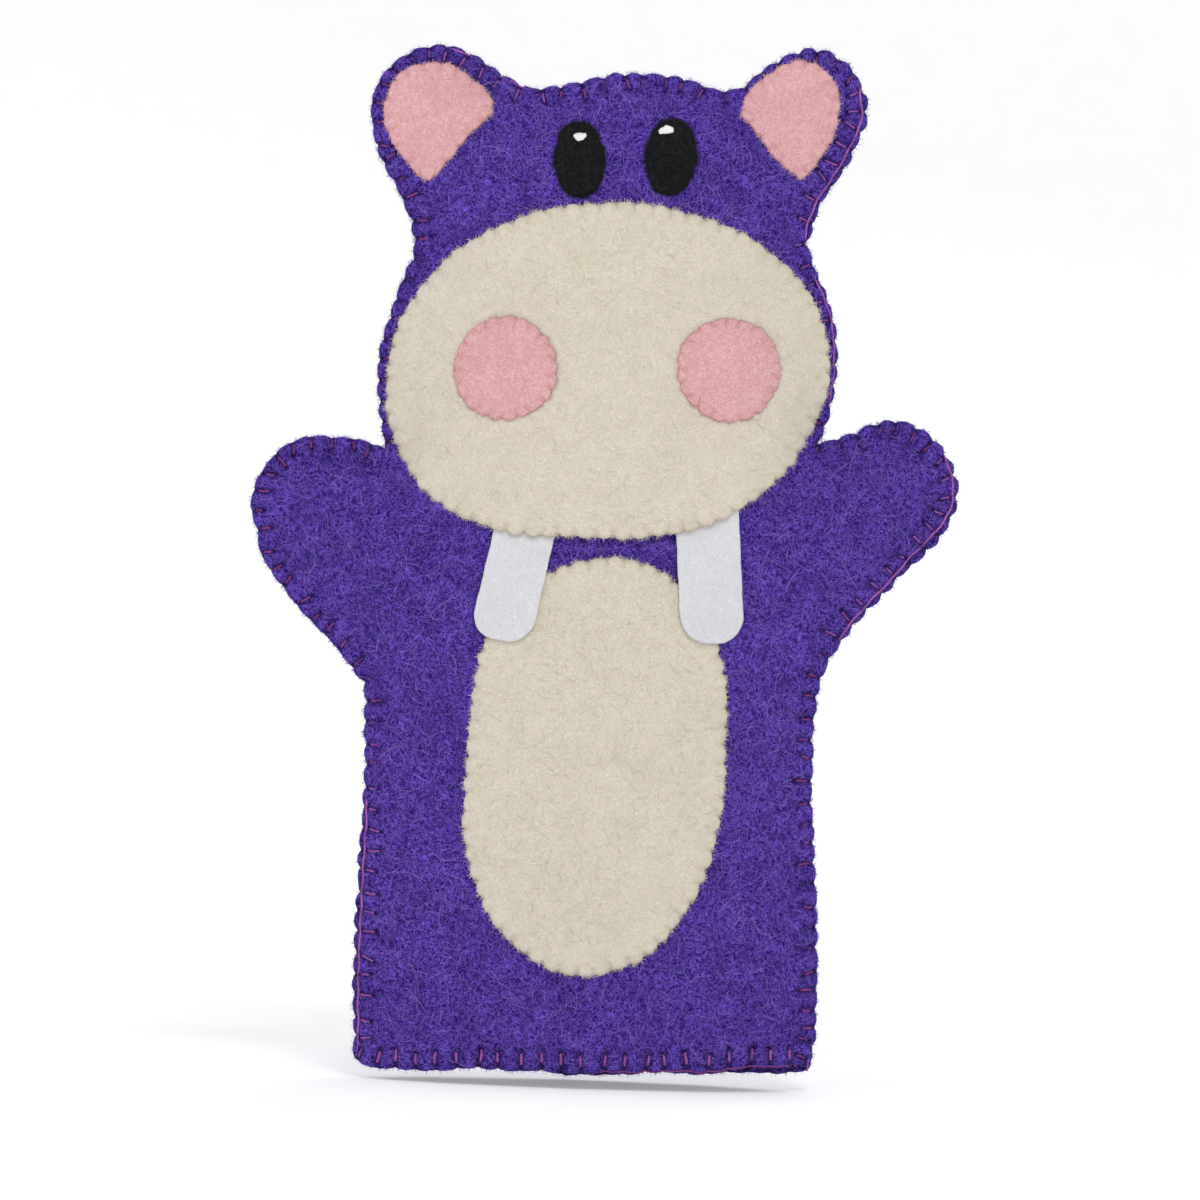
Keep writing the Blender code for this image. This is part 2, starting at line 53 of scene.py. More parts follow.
PANEL = 2.2  # thickness of the purple felt
PATCH = 1.6  # thickness of the muzzle and belly felt
TRIM = 1.2  # thickness of the pink and white felt
EYE = 1.0  # thickness of the black felt
LAYER_GAP = 0.12  # half the gap between the two layers at the seam
SEAM_FLANGE = 3.0  # width of the flat edge outside the puffed part
PUFF_REACH = 24.0  # how far the seam holds the fullness down
PUFF_BODY = 19.5  # depth of one layer where nothing holds it down
PUFF_HEAD = 3.5  # what the head adds to it
PUFF_ARM = 62.0  # what pushes the narrow arms out
PUFF_ARM_SPREAD = 13.0
CELL = 2.0  # cell of the grid that holds the puffed shape
HEM_HALF = 56.8  # half the width of the hem
HEM_CORNER = 2.5  # radius of its corners

SEAM_PITCH = 5.2  # distance between two blanket stitches
SEAM_THREAD = 0.29  # radius of the thread
EDGE_THREAD = 0.27  # of the run along the edge
HEM_THREAD = 0.37  # of the stitches of the hem
HEM_EDGE_THREAD = 0.16
WHIP_THREAD = 0.17  # of the small stitches of the patches
THREAD_STEP = 0.16  # distance between two points of a run of thread
LEG = 3.7  # length of a blanket stitch

LEFT_ARMPIT = (-57.5, 94.4)
LEFT_NOTCH = (-54.5, 152.8)
LEFT_EAR_LOW = (-49.6, 210.0)
LEFT_EAR_HIGH = (-21.0, 244.0)
RIGHT_EAR_HIGH = (22.0, 246.3)
RIGHT_EAR_LOW = (48.8, 208.5)
RIGHT_NOTCH = (53.3, 158.0)
RIGHT_ARMPIT = (55.4, 97.2)
LEFT_PAW = (-69.6, 138.0, 17.7)
RIGHT_PAW = (71.0, 146.7, 17.4)
LEFT_EAR = (-44.0, 237.2, 16.9)
RIGHT_EAR = (46.0, 240.3, 16.3)
NECK_FOLD = 158.4
NECK_END = 191.0
FLOOR = -4.2  # the lowest point of the hem

MUZZLE = [
    (55.3, 173.6), (53.5, 188.0), (45.6, 200.1), (34.3, 208.1), (22.3, 212.7), (10.9, 215.0),
    (-0.2, 215.5), (-11.1, 214.3), (-21.9, 211.3), (-32.8, 206.2), (-42.9, 198.2), (-50.6, 187.1),
    (-54.4, 173.6), (-53.4, 159.3), (-47.2, 146.5), (-36.3, 137.5), (-23.5, 133.3), (-11.2, 132.5),
    (-0.2, 132.6), (10.7, 133.0), (22.0, 135.1), (33.2, 140.2), (43.2, 148.5), (51.1, 159.9),
]
BELLY = [
    (32.7, 75.6), (32.6, 84.2), (32.3, 93.9), (30.4, 105.4), (24.6, 117.1), (13.9, 125.2),
    (0.6, 127.3), (-12.2, 123.3), (-22.1, 114.9), (-27.9, 104.1), (-30.2, 93.4), (-30.7, 84.0),
    (-31.1, 75.6), (-31.5, 67.0), (-31.0, 57.3), (-28.3, 46.7), (-22.4, 35.8), (-12.4, 27.2),
    (0.6, 24.2), (13.2, 28.5), (22.4, 37.9), (27.9, 48.3), (30.9, 58.1), (32.3, 67.1),
]
NOSTRIL_RADIUS = 12.7
NOSTRILS = {"left": (-25.0, 173.5), "right": (30.4, 175.1)}
EYES = {"left": (-8.5, 226.3, 6.2, 9.7, 5.0), "right": (14.2, 227.7, 6.3, 9.8, -3.0)}
GLINTS = {"left": (-8.6, 232.0, 1.6, 1.05, 8), "right": (12.8, 234.4, 1.95, 1.05, 12)}
TEETH = {"left": (-18.5, 135.0, 7.5, 7.7, 29.3, -11.0), "right": (26.4, 135.6, 7.9, 7.9, 28.5, 4.6)}
SIDES = ("left", "right")
FACES = ((-1, "front"), (1, "back"))


# ---------------------------------------------------------------- outlines

def arc(circle, start, end, count):
    x, z, radius = circle
    angles = np.radians(np.linspace(start, end, count))
    return [(x + radius * math.cos(a), z + radius * math.sin(a)) for a in angles]


def spaced(points, step, closed=False):
    """A smooth curve through the points, divided into equal steps of about the given length."""
    p = np.array(points, float)
    if closed:
        p = np.vstack([p[-1], p, p[:2]])
    else:
        p = np.vstack([2 * p[0] - p[1], p, 2 * p[-1] - p[-2]])
    t = np.linspace(0, 1, 40, endpoint=False)[:, None]
    fine = []
    for a, b, c, d in zip(p, p[1:], p[2:], p[3:]):
        bend = (2 * a - 5 * b + 4 * c - d) * t**2 + (3 * b - a - 3 * c + d) * t**3
        fine.append(0.5 * (2 * b + (c - a) * t + bend))
    fine = np.vstack(fine + [p[-2:-1]])
    along = np.concatenate([[0], np.cumsum(np.hypot(*np.diff(fine, axis=0).T))])
    count = max(2, round(along[-1] / step))
    at = np.linspace(0, along[-1], count + 1)[: count if closed else None]
    return np.stack([np.interp(at, along, fine[:, k]) for k in (0, 1)], axis=1)


def outline_strokes(step):
    """The silhouette as named strokes that run clockwise from the left end of the hem."""
    corner_left = (-HEM_HALF + HEM_CORNER, HEM_CORNER, HEM_CORNER)
    corner_right = (HEM_HALF - HEM_CORNER, HEM_CORNER, HEM_CORNER)
    left_side = [(-57.6, 20), (-57.3, 50), (-56.6, 72), LEFT_ARMPIT]
    right_side = [RIGHT_ARMPIT, (54.6, 86), (54.9, 68), (56.9, 42), (57.8, 16)]
    left_arm = [LEFT_ARMPIT, (-66.6, 104.6), (-76.8, 115), (-84.2, 125.2)]
    left_arm += arc(LEFT_PAW, 205, 80, 7)
    left_arm += [(-59.6, 154.5), LEFT_NOTCH]
    right_arm = [RIGHT_NOTCH, (60.6, 159.9)]
    right_arm += arc(RIGHT_PAW, 92, -40, 7)
    right_arm += [(74.1, 124.7), (65.4, 114.9), (59, 105.9), RIGHT_ARMPIT]
    left_cheek = [LEFT_NOTCH, (-56.1, 164), (-56.8, 175), (-53.3, 190), (-49, 202), LEFT_EAR_LOW]
    right_cheek = [RIGHT_EAR_LOW, (51.7, 200), (56.1, 189.5), (57.3, 176), (55.6, 165), RIGHT_NOTCH]
    left_ear = [LEFT_EAR_LOW, (-53.4, 217.6), (-57.8, 225.6)]
    left_ear += arc(LEFT_EAR, 190, 55, 7)
    left_ear += [(-28.5, 247.2), LEFT_EAR_HIGH]
    right_ear = [RIGHT_EAR_HIGH, (26.5, 245.2), (31.7, 246.2), (36.9, 250.9), (42, 254)]
    right_ear += [(47.8, 256), (54.1, 255), (59.4, 250.6), (62.1, 244.1), (62.1, 237.5)]
    right_ear += [(57.2, 226.8), (51.7, 217.5), RIGHT_EAR_LOW]
    crown = [LEFT_EAR_HIGH, (-13, 245.1), (-3, 247.6), (7, 248.7), (15, 248), RIGHT_EAR_HIGH]
    strokes = {
        "side_left": arc(corner_left, 270, 180, 4) + left_side,
        "arm_left": left_arm,
        "cheek_left": left_cheek,
        "ear_left": left_ear,
        "crown": crown,
        "ear_right": right_ear,
        "cheek_right": right_cheek,
        "arm_right": right_arm,
        "side_right": right_side + arc(corner_right, 0, -90, 4),
    }
    made = {name: spaced(points, step) for name, points in strokes.items()}
    made["hem"] = spaced([(HEM_HALF - HEM_CORNER, 0), (-HEM_HALF + HEM_CORNER, 0)], step)
    return made


def inside(points, ring):
    """Which points lie inside a ring."""
    x, z = points[:, 0], points[:, 1]
    found = np.zeros(len(points), bool)
    for a, b in zip(ring, np.roll(ring, -1, axis=0)):
        if a[1] == b[1]:
            continue
        crosses = (a[1] > z) != (b[1] > z)
        at = a[0] + (z - a[1]) * (b[0] - a[0]) / (b[1] - a[1])
        found ^= crosses & (x < at)
    return found


def distance(points, line):
    """How far points lie from a chain of points."""
    best = np.full(len(points), 1e9)
    for a, b in zip(line, line[1:]):
        d = b - a
        t = np.clip(((points - a) @ d) / (d @ d + 1e-30), 0, 1)
        off = points - a - t[:, None] * d
        best = np.minimum(best, off[:, 0] ** 2 + off[:, 1] ** 2)
    return np.sqrt(best)


def closed(ring):
    return np.vstack([ring, ring[:1]])


def ring_distance(points, ring, reach=6.0):
    """Distance to the closed ring, but never more than reach."""
    line = closed(ring)
    best = np.full(len(points), reach)
    for start in range(0, len(line) - 1, 40):
        part = line[start : start + 41]
        low, high = part.min(0) - reach, part.max(0) + reach
        hit = np.flatnonzero(np.all((points > low) & (points < high), axis=1))
        if len(hit):
            best[hit] = np.minimum(best[hit], distance(points[hit], part))
    return best


def along_ring(ring):
    """Arc length at each point of a ring, and at its first point again."""
    return np.concatenate([[0], np.cumsum(np.hypot(*np.diff(closed(ring), axis=0).T))])


def read_ring(at, s, values):
    """Values at arc lengths, from the values at a ring's points and those points' arc lengths."""
    return np.stack([np.interp(at, s, column) for column in closed(values).T], axis=-1)


def twice_area(ring):
    """Twice the area in a ring, positive where it runs from the first axis to the second."""
    return np.sum(ring[:, 0] * np.roll(ring[:, 1], -1) - np.roll(ring[:, 0], -1) * ring[:, 1])


def turned(vectors, degrees):
    """Each vector turned by its own angle."""
    c, s = np.cos(np.radians(degrees)), np.sin(np.radians(degrees))
    return np.stack([vectors[:, 0] * c - vectors[:, 1] * s, vectors[:, 0] * s + vectors[:, 1] * c], axis=1)


def outward(ring):
    """Unit normals that point out of a closed ring."""
    ahead = np.roll(ring, -1, axis=0) - np.roll(ring, 1, axis=0)
    ahead /= np.hypot(*ahead.T)[:, None] + 1e-12
    return np.stack([ahead[:, 1], -ahead[:, 0]], axis=1) * np.sign(twice_area(ring))


# ---------------------------------------------------------------- the puffed shape

def around(height):
    """The sum of each cell's four neighbours."""
    p = np.pad(height, 1, mode="edge")
    return p[:-2, 1:-1] + p[2:, 1:-1] + p[1:-1, :-2] + p[1:-1, 2:]


def puff_grid():
    """How far one layer stands out from the seam plane, on a grid: a skin held down at the seam."""
    ring = np.vstack([s[:-1] for s in outline_strokes(4.0).values()])
    xs = np.arange(-96, 97, CELL)
    zs = np.arange(-30, 265, CELL)
    gx, gz = np.meshgrid(xs, zs)
    flat = np.stack([gx.ravel(), np.maximum(gz.ravel(), 12.0)], axis=1)
    far = distance(flat, closed(ring))
    hem_free = flat[:, 1] <= 16
    far = np.where(hem_free, HEM_HALF + 1.2 - np.abs(flat[:, 0]), far)
    free = (inside(flat, ring) & (far > SEAM_FLANGE)).reshape(gx.shape)
    push = PUFF_BODY + PUFF_HEAD * np.exp(-(((gx - 1) / 45) ** 2) - ((gz - 185) / 38) ** 2)
    for x, z, _ in (LEFT_PAW, RIGHT_PAW):
        near = ((gx - 0.93 * x) ** 2 + (gz - z + 3) ** 2) / PUFF_ARM_SPREAD**2
        push = push + PUFF_ARM * np.exp(-near)
    height = np.zeros(gx.shape)
    k = (PUFF_REACH / CELL) ** 2
    for _ in range(1500):
        height = np.where(free, (push + k * around(height)) / (1 + 4 * k), 0.0)
    for _ in range(5):
        height = 0.5 * height + 0.125 * around(height)
    return xs, zs, height


PUFF = puff_grid()


def cubic(a, b, c, d, t):
    return b + 0.5 * t * (c - a + t * (2 * a - 5 * b + 4 * c - d + t * (3 * (b - c) + d - a)))


def puff_at(p):
    """The puffed height at points, smooth between the grid's cells."""
    xs, zs, height = PUFF
    u = np.clip((p[:, 0] - xs[0]) / CELL, 1, len(xs) - 3.001)
    v = np.clip((p[:, 1] - zs[0]) / CELL, 1, len(zs) - 3.001)
    i, j = u.astype(int), v.astype(int)
    a, b = u - i, v - j
    rows = []
    for dj in (-1, 0, 1, 2):
        rows.append(cubic(*[height[j + dj, i + di] for di in (-1, 0, 1, 2)], a))
    return np.maximum(cubic(*rows, b), 0)


WAVES = []  # the waves that make the felt uneven, each at its own angle
for wavelength, size in ((46, 0.34), (31, 0.24), (22, 0.18), (14, 0.10), (9.5, 0.07), (6.5, 0.05)):
    for _ in range(3):
        turn = rng.uniform(0, math.pi)
        k = 2 * math.pi / (wavelength * rng.uniform(0.85, 1.15))
        WAVES.append((k * math.cos(turn), k * math.sin(turn), rng.uniform(0, 6.28), size))


def lumps(p, seed):
    """Soft unevenness of hand-cut felt that a hand fills."""
    total = np.zeros(len(p))
    for n, (kx, kz, phase, size) in enumerate(WAVES):
        total += size * np.sin(kx * p[:, 0] + kz * p[:, 1] + phase * (1 + seed) + seed * n)
    return 0.55 * total


def smooth(a, b, x):
    t = np.clip((x - a) / (b - a), 0, 1)
    return t * t * (3 - 2 * t)


# ---------------------------------------------------------------- stitches

def stitch_marks(length, pitch, wobble):
    """Places of stitches along a line, a little uneven."""
    count = max(2, round(length / pitch))
    marks = (np.arange(count) + 0.5) * length / count
    return marks + rng.uniform(-wobble, wobble, count)


def scallop(s, marks, total, sizes, pull=0.45, power=0.7):
    """How far a sewn edge stands out: drawn in at each stitch and proud between two."""
    nxt = np.searchsorted(marks, s) % len(marks)
    prv = (nxt - 1) % len(marks)
    a, b = marks[prv], marks[nxt]
    gap = (b - a) % total
    t = ((s - a) % total) / np.maximum(gap, 1e-6)
    return sizes[prv] * (np.sin(math.pi * np.clip(t, 0, 1)) ** power - pull)


STEP = 0.6
strokes = outline_strokes(STEP)
base_ring = np.vstack([s[:-1] for s in strokes.values()])
stroke_of = np.concatenate([[n] * (len(s) - 1) for n, s in enumerate(strokes.values())])
stroke_names = list(strokes)
ring_s = along_ring(base_ring)
ring_total = ring_s[-1]
ring_s = ring_s[:-1]
ring_out = outward(base_ring)
for _ in range(3):
    ring_out = 0.5 * ring_out + 0.25 * (np.roll(ring_out, 1, 0) + np.roll(ring_out, -1, 0))
ring_out /= np.hypot(*ring_out.T)[:, None]
hem_start = ring_s[np.flatnonzero(stroke_of == stroke_names.index("hem"))[0]]

seam_marks = stitch_marks(hem_start, SEAM_PITCH, 0.45)
hem_marks = hem_start + stitch_marks(ring_total - hem_start, SEAM_PITCH, 0.4)


def ring_at(s, values):
    """Values along the base ring, read at arc lengths s."""
    return read_ring(np.asarray(s) % ring_total, np.append(ring_s, ring_total), values)


def bump(s, centre, half):
    """One at the middle of a stretch of the edge, and zero from half its length on."""
    gap = np.abs((s - centre + ring_total / 2) % ring_total - ring_total / 2)
    return smooth(half, half * 0.6, gap)


def place_of(x, z):
    """Arc length of the outline's point nearest to a place."""
    return ring_s[np.argmin((base_ring[:, 0] - x) ** 2 + (base_ring[:, 1] - z) ** 2)]


# how far the hem of each layer hangs above or below its line, from left to right
HEM_FRONT = [
    (-58, -1.3), (-39, -1.2), (-33, -0.5), (-26, 0.2), (-14, 0.0), (0, 0.1), (12, 0.6), (20, 1.0),
    (30, 1.1), (36, 1.8), (44, 2.6), (58, 2.9),
]
HEM_BACK = [
    (-58, -0.6), (-39, -0.6), (-30, 0.2), (-20, -0.2), (-12, -1.6), (-4, -3.0), (4, -2.9),
    (11, -2.2), (18, -1.5), (30, -1.4), (38, -0.6), (44, -0.1), (58, 0.4),
]
# where the front layer's edge sits further in, so that the thread along the edge shows
FRONT_INSET = [
    (place_of(-57.5, 34), 40, 0.95),
    (place_of(87, 140), 22, 0.75),
    (place_of(74, 124), 26, 0.85),
    (place_of(56, 185), 24, 0.6),
    (place_of(59, 227), 27, 0.95),
    (place_of(-30, 247), 16, 0.45),
    (place_of(-47, 253.5), 12, 0.3),
]


def front_inset(s):
    return sum(size * bump(s, centre, half) for centre, half, size in FRONT_INSET)


def edge_noise(s, seed, size):
    total = 0
    for n, wave in enumerate((17.0, 9.0, 4.1, 2.3)):
        cycles = round(ring_total / wave)
        total = total + np.sin(2 * math.pi * cycles * s / ring_total + seed * (n + 1.7)) / (n + 1)
    return size * total


def panel_ring(face):
    """The scalloped edge of the front (face -1) or back (face 1) layer."""
    seed = 1.3 if face < 0 else 4.1
    sizes = rng.uniform(0.5, 1.1, len(seam_marks))
    at = ring_at(seam_marks, base_ring)
    x, z = at.T
    left_arm = (x < -58) & (z > 80)
    right_arm = (x > 58) & (z > 100) & (z < 170)
    right_ear = (x > 18) & (z > 225)
    sizes *= 1 - 0.5 * left_arm + 0.3 * right_arm + 0.25 * right_ear
    hem_sizes = rng.uniform(0.25, 0.5, len(hem_marks))
    push = scallop(ring_s, seam_marks, ring_total, sizes)
    hem_push = scallop(ring_s, hem_marks, ring_total, hem_sizes)
    near_hem = smooth(hem_start - 3, hem_start + 2, ring_s) * (1 - smooth(ring_total - 2, ring_total, ring_s))
    push = push * (1 - near_hem) + hem_push * near_hem
    inset = front_inset(ring_s)
    zone = np.clip(inset / 0.9, 0, 1)
    push = push * (1 - 0.65 * zone) - inset if face < 0 else push + 0.15 * inset
    push = push + edge_noise(ring_s, seed, 0.14)
    ring = base_ring + ring_out * push[:, None]
    drop = np.array(HEM_FRONT if face < 0 else HEM_BACK)
    low = smooth(16, 1, ring[:, 1]) * (np.abs(ring[:, 0]) < 64)
    ring[:, 1] += np.interp(ring[:, 0], drop[:, 0], drop[:, 1]) * low
    return ring


front_ring = panel_ring(-1)
back_ring = panel_ring(1)


def make_legs(marks, ring, length, wobble, lean=6.0):
    """Rim point, inward way and length of each stitch."""
    rim = ring_at(marks, ring)
    way = -ring_at(marks, ring_out)
    way /= np.hypot(*way.T)[:, None]
    way = turned(way, rng.normal(0, lean, len(marks)))
    size = length + rng.uniform(-wobble, wobble, len(marks))
    return rim, way, size


front_legs = make_legs(seam_marks, front_ring, LEG, 0.8, 10)
back_legs = make_legs(seam_marks, back_ring, LEG, 0.8, 10)
front_hem_legs = make_legs(hem_marks, front_ring, LEG + 0.9, 0.4)
back_hem_legs = make_legs(hem_marks, back_ring, LEG + 0.9, 0.4)
RINGS = {-1: front_ring, 1: back_ring}
LEGS = {-1: (front_legs, front_hem_legs), 1: (back_legs, back_hem_legs)}


def pulled_in(p, legs, depth, width, pit):
    """How deep the stitches draw the felt in at points: a trough, and a pit where the thread dives."""
    total = np.zeros(len(p))
    rim, way, size = legs
    for r, w, n in zip(rim, way, size):
        off = p - r
        hit = np.flatnonzero((np.abs(off[:, 0]) < n + 4) & (np.abs(off[:, 1]) < n + 4))
        if not len(hit):
            continue
        a = off[hit] @ w
        b = off[hit] @ np.array([-w[1], w[0]])
        past = np.maximum(a - n, 0) + np.maximum(-a - 0.5, 0) * 2
        trough = depth * np.exp(-((b / width) ** 2) - (past / 0.75) ** 2)
        hole = pit * np.exp(-((a - n) ** 2 + b**2) / 0.45**2)
        total[hit] = np.maximum(total[hit], trough + hole)
    return total


def shaded(p, groups):
    """How much shade is painted into the felt's colour in the hollows beside the stitches, from 0 to 1."""
    total = np.zeros(len(p))
    for legs, wide in groups:
        total = np.maximum(total, pulled_in(p, legs, 0.75, wide, 0.1))
    return np.clip(total, 0, 0.8)


def rounded(d, radius):
    """The profile of a round edge: zero at the rim and one from the radius inwards."""
    t = np.clip(1 - d / radius, 0, 1)
    return np.sqrt(np.maximum(1 - t * t, 0))


def panel_mid(p, face):
    """Distance of the panel's middle surface from the seam plane."""
    puff = puff_at(p)
    lump = lumps(p, 0.0 if face < 0 else 1.0) * smooth(0.3, 5.0, puff)
    return puff + lump + LAYER_GAP + PANEL / 2


def panel_outer(p, face):
    """Distance of the panel's outer surface from the seam plane, with its stitch hollows."""
    d = ring_distance(p, RINGS[face])
    half = PANEL / 2 * rounded(d, 1.15)
    out = panel_mid(p, face) + half
    out = out + 0.22 * np.exp(-(((d - 2.4) / 1.6) ** 2)) * smooth(0.2, 1.5, d)
    for legs in LEGS[face]:
        out = out - pulled_in(p, legs, 1.15, 0.85, 0.6) * smooth(0.0, 0.8, d)
    return out


def panel_inner(p, face):
    d = ring_distance(p, RINGS[face])
    return panel_mid(p, face) - PANEL / 2 * rounded(d, 1.15)


def panel_top(p):
    """The front panel's outer surface well inside its edge, where the patches lie."""
    return panel_mid(p, -1) + PANEL / 2


# ---------------------------------------------------------------- meshes

def net_of(ring, insets, spacing, lines=()):
    """A flat net of triangles inside the ring: fine along the edge, even in the middle."""
    normals = outward(ring)
    for _ in range(2):
        normals = 0.5 * normals + 0.25 * (np.roll(normals, 1, 0) + np.roll(normals, -1, 0))
    points = [ring]
    for inset in insets:
        moved = ring - normals * inset
        d = ring_distance(moved, ring, inset + 1)
        points.append(moved[(d > 0.82 * inset)])
    low, high = ring.min(0), ring.max(0)
    rows = []
    for j, z in enumerate(np.arange(low[1], high[1], spacing * 0.866)):
        xs = np.arange(low[0] + (j % 2) * spacing / 2, high[0], spacing)
        rows.append(np.stack([xs, np.full(len(xs), z)], axis=1))
    lattice = np.vstack(rows)
    lattice = lattice + rng.uniform(-0.08, 0.08, lattice.shape) * spacing
    lattice = lattice[inside(lattice, ring[::2])]
    deep = insets[-1]
    lattice = lattice[ring_distance(lattice, ring, deep + spacing) > deep + 0.6 * spacing]
    for line in lines:
        lattice = lattice[distance(lattice, line) > 0.45 * spacing]
    points.append(lattice)
    edges = [(k, (k + 1) % len(ring)) for k in range(len(ring))]
    count = sum(len(p) for p in points)
    for line in lines:
        edges += [(count + k, count + k + 1) for k in range(len(line) - 1)]
        points.append(line)
        count += len(line)
    every = np.vstack(points)
    verts, _, faces, _, _, _ = delaunay_2d_cdt([Vector(p) for p in every], edges, [], 0, 1e-5, False)
    verts = np.array([(v.x, v.y) for v in verts])
    faces = np.array([f for f in faces if len(f) == 3])
    middle = verts[faces].mean(axis=1)
    faces = faces[inside(middle, ring)]
    ab = verts[faces[:, 1]] - verts[faces[:, 0]]
    ac = verts[faces[:, 2]] - verts[faces[:, 0]]
    area = ab[:, 0] * ac[:, 1] - ab[:, 1] * ac[:, 0]
    faces[area < 0] = faces[area < 0][:, ::-1]
    faces = faces[np.abs(area) > 1e-9]
    used, faces = np.unique(faces, return_inverse=True)
    return verts[used], faces.reshape(-1, 3)


def sides_of(faces):
    return np.vstack([faces[:, [0, 1]], faces[:, [1, 2]], faces[:, [2, 0]]])


def open_sides(faces):
    """The sides that only one triangle has, each in that triangle's direction."""
    sides = sides_of(faces)
    key = np.sort(sides, axis=1)
    _, index, counts = np.unique(key, axis=0, return_index=True, return_counts=True)
    return sides[index[counts == 1]]


def pieces_of(verts, faces, lines):
    """Labels the net's triangles by the part they belong to, where straight lines cut it."""
    edges = np.unique(np.sort(sides_of(faces), axis=1), axis=0)
    cut = set()
    for line in lines:
        on = distance(verts, line[[0, -1]]) < 2e-3
        cut |= {(int(a), int(b)) for a, b in edges[on[edges].all(1)]}
    owner = {}
    label = np.full(len(faces), -1)
    beside = [[] for _ in faces]
    for k, face in enumerate(faces):
        for a, b in zip(face, np.roll(face, -1)):
            key = (a, b) if a < b else (b, a)
            if key in cut:
                continue
            if key in owner:
                beside[k].append(owner[key])
                beside[owner[key]].append(k)
            else:
                owner[key] = k
    count = 0
    for k in range(len(faces)):
        if label[k] >= 0:
            continue
        label[k] = count
        heap = [k]
        while heap:
            for n in beside[heap.pop()]:
                if label[n] < 0:
                    label[n] = count
                    heap.append(n)
        count += 1
    return label


def shell(net, outer, inner, face, label=None):
    """Felt as two surfaces that meet along the rim: points, and triangles of each labelled part."""
    verts, faces = net
    n = len(verts)
    rim = np.unique(open_sides(faces))
    top = outer.copy()
    top[rim] = (outer[rim] + inner[rim]) / 2
    keep = np.setdiff1d(np.arange(n), rim)
    low = np.arange(n)
    low[keep] = n + np.arange(len(keep))
    co = np.stack([verts[:, 0], face * top, verts[:, 1]], axis=1)
    co = np.vstack([co, np.stack([verts[keep, 0], face * inner[keep], verts[keep, 1]], axis=1)])
    whole = np.vstack([faces, low[faces][:, ::-1]])
    made = []
    for part in range(1 if label is None else label.max() + 1):
        own = faces if label is None else faces[label == part]
        a, b = open_sides(own).T
        walls = np.vstack([np.stack([b, a, low[a]], 1), np.stack([b, low[a], low[b]], 1)])
        every = np.vstack([own, low[own][:, ::-1], walls])
        solid = (every[:, 0] != every[:, 1]) & (every[:, 1] != every[:, 2]) & (every[:, 0] != every[:, 2])
        made.append(every[solid])
    if face > 0:
        whole = whole[:, ::-1]
        made = [m[:, ::-1] for m in made]
    return co, whole, made


def vertex_normals(co, faces):
    a, b, c = (co[faces[:, k]] for k in range(3))
    flat = np.cross(b - a, c - a)
    normals = np.zeros(co.shape)
    for k in range(3):
        np.add.at(normals, faces[:, k], flat)
    return normals / (np.linalg.norm(normals, axis=1)[:, None] + 1e-20)


def store(mesh, name, values, kind="FLOAT"):
    attribute = mesh.attributes.new(name, kind, "POINT")
    key = "vector" if kind == "FLOAT_VECTOR" else "value"
    attribute.data.foreach_set(key, np.ascontiguousarray(values, np.float32).ravel())


def build(name, co, faces, material, slot, normals=None, floats=None):
    """A mesh object from points in millimetres. Its texture follows where it lay at rest."""
    mesh = bpy.data.meshes.new(name)
    faces = np.asarray(faces)
    size = faces.shape[1]
    mesh.vertices.add(len(co))
    mesh.vertices.foreach_set("co", (np.asarray(co) * MM).astype(np.float32).ravel())
    mesh.loops.add(faces.size)
    mesh.loops.foreach_set("vertex_index", faces.astype(np.int32).ravel())
    mesh.polygons.add(len(faces))
    mesh.polygons.foreach_set("loop_start", np.arange(0, faces.size, size, dtype=np.int32))
    mesh.update(calc_edges=True)
    mesh.validate()
    mesh.shade_smooth()
    store(mesh, "rest", np.asarray(co), "FLOAT_VECTOR")
    for key, values in (floats or {}).items():
        store(mesh, key, values)
    if normals is not None:
        mesh.normals_split_custom_set_from_vertices(normals.astype(np.float32))
    mesh.materials.append(material)
    thing = bpy.data.objects.new(name, mesh)
    bpy.context.scene.collection.objects.link(thing)
    return thing


def tube_sides(rings, sides):
    """The triangles between one ring of a tube's points and the next."""
    i, j = np.meshgrid(np.arange(rings - 1), np.arange(sides), indexing="ij")
    k = (j + 1) % sides
    quads = np.stack([i * sides + j, i * sides + k, (i + 1) * sides + k, (i + 1) * sides + j], axis=-1)
    quads = quads.reshape(-1, 4)
    return np.vstack([quads[:, [0, 1, 2]], quads[:, [0, 2, 3]]])


def tube(points, radius, sides, twist):
    """Points and quads of a round thread, with two plies where twist gives their pitch."""
    p = np.asarray(points, float)
    ahead = np.gradient(p, axis=0)
    ahead /= np.linalg.norm(ahead, axis=1)[:, None] + 1e-12
    side = np.cross(ahead, np.array([0.0, 1.0, 0.0]))
    weak = np.linalg.norm(side, axis=1) < 0.2
    side[weak] = np.cross(ahead[weak], np.array([0.31, 0.0, 0.95]))
    side /= np.linalg.norm(side, axis=1)[:, None]
    for k in range(1, len(side)):
        if side[k] @ side[k - 1] < 0:
            side[k] = -side[k]
    up = np.cross(side, ahead)
    along = np.concatenate([[0], np.cumsum(np.linalg.norm(np.diff(p, axis=0), axis=1))])
    a = np.linspace(0, 2 * math.pi, sides, endpoint=False)[None, :]
    r = radius * np.ones((len(p), sides))
    if twist:
        r = r * (1 + 0.2 * np.cos(2 * (a - 2 * math.pi * along[:, None] / twist)))
    spokes = np.cos(a)[..., None] * side[:, None] + np.sin(a)[..., None] * up[:, None]
    co = p[:, None] + r[..., None] * spokes
    caps = []
    for first, order in ((0, 1), ((len(p) - 1) * sides, -1)):
        for k in range(1, sides - 1):
            caps.append((first, first + k + 1, first + k)[::order])
    return co.reshape(-1, 3), np.vstack([tube_sides(len(p), sides), caps])


